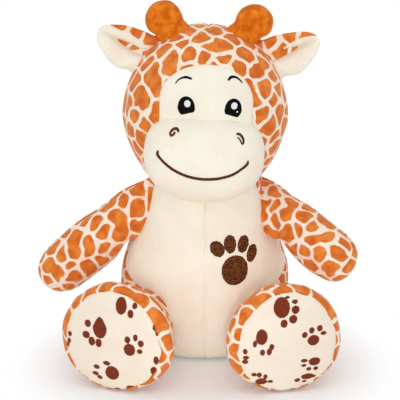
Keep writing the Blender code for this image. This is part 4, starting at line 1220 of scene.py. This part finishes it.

# %% [markdown]
# ## Arms
# Each arm is a fat printed sausage with a rounded end, sewn from a front and a back. Its root is drawn
# together on an oval against the shoulder, which gathers the cloth into pleats. The skin starts with a
# small rounded end inside the torso.

# %% The arm's skin
ARM_LENGTHS = {"left": 0.0838, "right": 0.0942}
ARM_HALF_WIDTH = 0.0188
ARM_HALF_DEPTH = 0.0181
ARM_DROOPS = {"left": math.radians(41.3), "right": math.radians(37.8)}
ARM_REST_SWINGS = {"left": math.radians(50), "right": math.radians(1)}
ARM_STATIONS = ((0.0, 0.81), (0.2, 0.95), (0.45, 1.02), (0.68, 1.04), (0.82, 0.97), (0.92, 0.76),
                (0.98, 0.40), (1.0, 0.0))
ARM_BENDS = {"left": 0.0035, "right": 0.0}
ARM_SEAM_FORWARD = {"left": 0.006, "right": 0.0}
ARM_PLEAT = 0.0024
ARM_PLEAT_REACH = 0.017
ARM_ROOT_SEAM = 0.0016
ARM_ROWS = 84
ARM_COLUMNS = 112
ARM_SUNK = 0.012
ARM_SUNK_ROWS = 12
ARM_SUNK_SIZE = 0.35
ARM_TABLE = through(ARM_STATIONS, ARM_ROWS, (sum(ARM_LENGTHS.values()) / 2, ARM_HALF_WIDTH))


def arm_root(side):
    """Middle of the arm's root and the direction that it faces, as the joint in the frame says."""
    joint = joint_called("arm_" + side + "_swing")
    place = Vector(joint["pos_m"])
    axis = Vector(joint["axis"]).normalized()
    return place, axis if axis.x * SIDES[side] > 0 else -axis


def make_arm(side):
    sign = SIDES[side]
    place, out = arm_root(side)
    swing_axis = out if side == "right" else -out
    swing = Matrix.Rotation(ARM_REST_SWINGS[side], 3, swing_axis)
    length, droop = ARM_LENGTHS[side], ARM_DROOPS[side]
    along = Vector((sign * math.cos(droop), 0.0, -math.sin(droop)))
    up = Vector((sign * math.sin(droop), 0.0, math.cos(droop)))
    back = Vector((0.0, 1.0, 0.0))

    def point(reach, size, angle):
        bend = ARM_BENDS[side] * max(reach / length, 0.0) ** 2
        local = (along * reach + up * (bend + ARM_HALF_WIDTH * size * math.sin(angle))
                 + back * ARM_HALF_DEPTH * size * math.cos(angle))
        return place + swing @ local

    first = ARM_STATIONS[0][1]
    angles = around(ARM_COLUMNS, -math.pi / 2)
    columns = [-out.dot(swing @ (up * ARM_HALF_WIDTH * first * math.sin(a))) / out.dot(swing @ along)
               for a in angles]
    rows = []
    for share in spread(0.0, 1.0, ARM_SUNK_ROWS)[:-1]:
        size = first * (ARM_SUNK_SIZE + (1 - ARM_SUNK_SIZE) * math.sqrt(share * (2 - share)))
        rows.append([point(start * size / first, size, a) - out * ARM_SUNK * (1 - share)
                     for a, start in zip(angles, columns)])
    for share, size in ARM_TABLE:
        rows.append([point(start + (length - start) * share, max(size, 0.0), a)
                     for a, start in zip(angles, columns)])
    rows[-1] = [point(length, 0.0, 0.0)] * ARM_COLUMNS
    arm = sew("arm_cloth_" + side, rows)
    seam_normal = swing @ back
    middle = place - seam_normal * ARM_SEAM_FORWARD[side]

    def arm_press(p, normal):
        """Pleats at the root, a seam above and below, and the lumps of the stuffing."""
        from_root = max(out.dot(p - place), 0.0)
        across = p - place
        angle = math.atan2(across.dot(swing @ up), across.dot(seam_normal))
        pleat = ARM_PLEAT * pleats(angle, 2.6, from_root / 0.02, 4.0)
        pull = pleat * math.exp(-from_root / ARM_PLEAT_REACH) + ARM_ROOT_SEAM * crease(from_root, 0.004)
        side_distance = abs((p - middle).dot(seam_normal))
        return pull + seam_pull(p, side_distance, 0.0016, 0.0015, 0.0007) + lumps(p, 0.0011, 0.016)

    press(arm, arm_press)
    print_patches(arm, *ARM_PRINTS[side])
    dress(arm, PRINTED, ["arm_front_" + side, "arm_back_" + side, "arm_stuffing_" + side])
    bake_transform(arm)


for side in SIDES:
    make_arm(side)

# %% [markdown]
# ## Legs and soles
# A leg comes forward from the hip as a short tube that swells into a big foot. The sole is a padded
# oval of cream plush, sewn round its rim to the printed foot and printed with small paws.

# %% The leg's skin
LEG_LENGTH = 0.067
HIP_Z = 0.036
FOOT_HALF_WIDTH = 0.0425
FOOT_HALF_HEIGHT = 0.0400
LEG_SPLAYS = {"left": math.radians(12.6), "right": math.radians(19.3)}
FOOT_EGG_SHARE = 0.08
FLOOR_FLAT = 0.0005
SOLE_BULGE = 0.003
LEG_BLEND_START = 0.002
LEG_BLEND_END = 0.024
LEG_MIDDLE = FOOT_HALF_HEIGHT - HIP_Z - FLOOR_FLAT
# Place along the leg, half width, half height and lowering, as shares of the length and the foot
LEG_STATIONS = ((-0.33, 0.20, 0.20, 0.11), (-0.24, 0.42, 0.43, 0.11), (0.0, 0.53, 0.54, 0.11),
                (0.26, 0.56, 0.57, 0.11), (0.40, 0.68, 0.69, 0.09), (0.58, 0.84, 0.85, 0.045),
                (0.73, 0.95, 0.955, 0.01), (0.85, 1.0, 1.0, 0.0), (0.94, 0.95, 0.98, 0.0),
                (0.995, 0.86, 0.94, 0.005))
LEG_INNER_STATION = (0.975, 0.80, 0.88, 0.005)
LEG_SCALES = (LEG_LENGTH, FOOT_HALF_WIDTH, FOOT_HALF_HEIGHT, 0.01)
LEG_ROWS = 88
LEG_COLUMNS = 168
SOLE_ROWS = 60


def hip_matrix(side):
    """Where the leg is sewn on, as the joint in the frame says, turned outwards by the leg's splay."""
    splay = Matrix.Rotation(SIDES[side] * LEG_SPLAYS[side], 4, "Z")
    return Matrix.Translation(joint_called("leg_" + side + "_lift")["pos_m"]) @ splay


def leg_ring(place, width, height, drop, angles, trim=0.0):
    half_width = FOOT_HALF_WIDTH * width - trim
    half_height = FOOT_HALF_HEIGHT * height - trim
    middle = LEG_MIDDLE - FOOT_HALF_HEIGHT * drop
    return [Vector((half_width * math.cos(a) * (1 - FOOT_EGG_SHARE * math.sin(a)), -LEG_LENGTH * place,
                    middle + half_height * math.sin(a))) for a in angles]


def rest_on_floor(piece, ease=0.0025):
    """Flattens what would be under the floor, with a soft turn at the edge of the flat."""
    for v in piece.data.vertices:
        if v.co.z < ease:
            v.co.z = ease * math.exp((v.co.z - ease) / ease) if v.co.z > -4 * ease else 0.0


RIM_SEAM = 0.012
RIM_PLEAT = 0.0013
RIM_PLEAT_REACH = 0.010


def leg_press(p, normal):
    """Puckers behind the sole's rim, a seam under the leg, and the lumps of the stuffing."""
    to_rim = abs(p.y + LEG_LENGTH)
    angle = math.atan2(p.z - LEG_MIDDLE, p.x)
    pleat = RIM_PLEAT * pleats(angle, 5.5, to_rim / 0.03, 6.0)
    groove = seam_pull(p, abs(to_rim - RIM_SEAM), 0.0008, 0.0014, 0.0004)
    return pleat * math.exp(-to_rim / RIM_PLEAT_REACH) + groove + lumps(p, 0.0009, 0.02)


for side in SIDES:
    place = hip_matrix(side)
    angles = around(LEG_COLUMNS)
    rows = [leg_ring(*station, angles) for station in through(LEG_STATIONS, LEG_ROWS, LEG_SCALES)]
    rows.append(leg_ring(*LEG_INNER_STATION, angles))
    leg = sew("leg_cloth_" + side, rows)
    press(leg, leg_press)
    leg.data.transform(place)
    rest_on_floor(leg)
    print_patches(leg, *LEG_PRINTS[side])
    dress(leg, PRINTED, ["leg_" + side, "leg_stuffing_" + side])
    hip = place.translation
    forward = place.to_3x3() @ Vector((0.0, -1.0, 0.0))
    hip + forward * LEG_BLEND_START
    hip + forward * LEG_BLEND_END
    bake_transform(leg)

# %% The prints on the soles
# Places across and up from the middle of the sole and half sizes, in mm. The first of each group is
# the pad of one paw and the others are its toes. A pad taller than PAD_HALF_HEIGHT ends in a point.
SOLE_PRINTS = {
    "right": ((-8.4, 10.1, 5.5, 8.2), (-17.9, 12.0, 2.6, 2.8), (-19.2, 3.4, 3.0, 2.8),
              (-14.8, -1.0, 2.6, 3.5), (-9.4, -1.6, 2.4, 3.3), (7.6, 28.0, 4.2, 6.3),
              (17.7, 28.9, 1.9, 2.4), (14.8, 22.9, 2.3, 3.2), (14.1, -3.9, 4.3, 4.7),
              (12.7, 3.5, 2.2, 2.7), (18.6, 5.6, 1.8, 2.7), (22.5, 1.5, 2.2, 2.7), (21.7, -4.5, 2.1, 1.9),
              (0.2, -23.9, 5.3, 5.5), (-3.7, -16.6, 2.8, 1.8), (-11.8, -20.6, 2.5, 1.8),
              (-13.0, -26.0, 2.6, 1.6), (-9.6, -28.8, 2.1, 1.6), (-32.7, 1.7, 1.9, 2.0),
              (-33.5, -3.8, 1.6, 2.0), (-34.6, -7.1, 1.3, 1.9), (32.2, 14.3, 1.4, 2.5),
              (34.0, 10.0, 1.4, 2.0), (33.2, -10.7, 1.9, 3.3), (31.4, -19.3, 2.4, 3.9),
              (13.9, -34.6, 4.0, 1.9), (3.1, -36.8, 2.3, 1.1)),
    "left": ((-5.1, 27.1, 6.0, 7.5), (4.6, 30.6, 2.3, 1.7), (5.0, 24.8, 3.0, 3.1), (3.1, 18.1, 3.1, 3.2),
             (-3.7, 15.4, 2.6, 3.1), (-0.8, 34.0, 1.8, 1.1), (-19.7, 6.2, 4.2, 5.9),
             (-24.6, 1.3, 1.6, 2.5), (-19.1, -5.4, 1.9, 2.5), (-14.2, -5.2, 1.9, 2.7),
             (-12.5, -1.6, 1.9, 2.4), (18.4, 0.8, 4.5, 4.0), (11.8, 5.5, 2.2, 2.3), (17.1, 8.3, 2.1, 2.4),
             (23.1, 9.3, 2.3, 2.4), (26.1, 5.3, 2.3, 1.6), (19.7, -15.8, 4.5, 3.2),
             (11.8, -14.4, 2.6, 1.5), (11.7, -18.2, 2.1, 1.2), (15.7, -21.4, 2.1, 1.5),
             (20.9, -21.5, 1.8, 1.7), (-19.3, -28.5, 4.2, 2.7), (-24.7, -22.6, 2.1, 1.5),
             (-20.9, -23.0, 1.8, 2.0), (-16.4, -24.7, 1.6, 2.0), (-12.7, -28.8, 2.2, 1.2),
             (-31.4, -4.1, 1.8, 2.0), (-30.7, -8.9, 2.3, 1.6), (-31.3, -12.4, 2.3, 1.6),
             (14.9, -27.4, 4.9, 2.4), (7.4, -29.6, 2.3, 1.6), (12.8, -31.3, 1.8, 1.1),
             (19.6, -28.0, 2.1, 1.2), (4.7, -36.9, 2.4, 0.7)),
}
PAD_HALF_HEIGHT = 8.0
PAD_POINT_SHARE = 0.45
NO_PRINT = 1.0


def paw_distance(x, z, prints):
    """How far a place on the sole lies outside the nearest print. Large pads are drawn to a point above."""
    nearest = NO_PRINT
    for across, up, half_width, half_height in prints:
        high = (z / MM - up) / half_height
        slim = 1 - PAD_POINT_SHARE * min(max(high, 0.0), 1.0) if half_height > PAD_HALF_HEIGHT else 1.0
        reach = math.hypot((x / MM - across) / (half_width * slim), high)
        nearest = min(nearest, (reach - 1) * min(half_width, half_height) * MM)
    return nearest


# %% The soles
RIM_UNEVEN = 0.03
RIM_STATION = (0.998, 0.868, 0.947, 0.005)
RIM_TRIM = 0.0008
RIM_ROUND = 0.0012
SOLE_BACK_SIZE = 0.98
SOLE_BACK_DEPTH = 0.003
SOLE_PUCKER = 0.0007
SOLE_HALF_WIDTH = 0.033
SOLE_HALF_HEIGHT = 0.0355

for side in SIDES:
    place = hip_matrix(side)
    angles = around(LEG_COLUMNS)
    rim = leg_ring(*RIM_STATION, angles, trim=RIM_TRIM)
    centre = sum(rim, Vector()) / len(rim)
    uneven = [1 + RIM_UNEVEN * rough(Vector((4 * math.cos(a), 4 * math.sin(a), 0.0)), 1.0, SIDES[side])
              for a in angles]
    rim = [centre + (p - centre) * share for p, share in zip(rim, uneven)]
    rows = []
    for lean in spread(0.0, math.pi / 2, SOLE_ROWS):
        share = math.sin(lean)
        bulge = SOLE_BULGE * (1 - share ** 2) + RIM_ROUND * (1 - share ** 10)
        rows.append([centre + (p - centre) * share + Vector((0.0, -bulge, 0.0)) for p in rim])
    rows.append([centre + (p - centre) * SOLE_BACK_SIZE + Vector((0.0, SOLE_BACK_DEPTH, 0.0)) for p in rim])
    sole = sew("sole_cloth_" + side, rows)

    def sole_press(p, normal):
        """Radial puckers along the rim."""
        reach = math.hypot((p.x - centre.x) / SOLE_HALF_WIDTH, (p.z - centre.z) / SOLE_HALF_HEIGHT)
        angle = math.atan2(p.z - centre.z, p.x - centre.x)
        pucker = SOLE_PUCKER * pleats(angle, 7, 0.0, 9.0) * math.exp(-max(1 - reach, 0.0) / 0.12)
        return pucker + lumps(p, 0.0005, 0.018)

    press(sole, sole_press)
    store(sole, "paw_print", [paw_distance(v.co.x, v.co.z - centre.z, SOLE_PRINTS[side])
                              for v in sole.data.vertices])
    sole.data.transform(place)
    rest_on_floor(sole)
    dress(sole, SOLE, ["sole_" + side], "leg_" + side)

# %% [markdown]
# ## The paw on the chest
# A brown paw is embroidered on the toy's left breast: a round pad filled with rings of stitches and
# four toes above it.

# %% The stitched paw
PAW_X = 0.0219
PAW_Z = 0.0747
PAW_HALF_WIDTH = 0.0098
PAW_HALF_HEIGHT = 0.0112
RAGGED_SIZE = 0.0016
PAW_RAGGED = 0.0004
TOE_RAGGED = 0.0006
# Name of each toe, its place in half sizes of the pad, its turn in degrees and its half sizes in mm
PAW_TOES = (("paw_toe_1", -1.32, 1.50, 32, 5.0, 6.6), ("paw_toe_2", -0.37, 1.76, 4, 4.5, 7.0),
            ("paw_toe_3", 0.63, 1.66, -6, 4.2, 6.5), ("paw_toe_4", 1.28, 0.98, -12, 3.7, 6.5))


def ragged(outline, amount):
    """The outline with the small steps of its stitches."""
    return [(x + amount * rough(Vector((x, z, 0)), RAGGED_SIZE, 1.0),
             z + amount * rough(Vector((z, x, 0)), RAGGED_SIZE, 2.0)) for x, z in outline]


oval = ellipse((PAW_X, PAW_Z), PAW_HALF_WIDTH, PAW_HALF_HEIGHT, count=72)
pad = stitched_patch("chest_paw_pad", ragged(oval, PAW_RAGGED), BELLY_TREE, rows=16, rings=True)
dress(pad, BROWN_THREAD, ["paw_pad"], "torso")
for node, across, up, turn, half_width, half_height in PAW_TOES:
    centre = (PAW_X + across * PAW_HALF_WIDTH, PAW_Z + up * PAW_HALF_HEIGHT)
    oval = ellipse(centre, half_width * MM, half_height * MM, math.radians(turn), count=48)
    toe = stitched_patch("chest_" + node, ragged(oval, TOE_RAGGED), BELLY_TREE, rows=8, rings=True)
    dress(toe, BROWN_THREAD, [node], "torso")
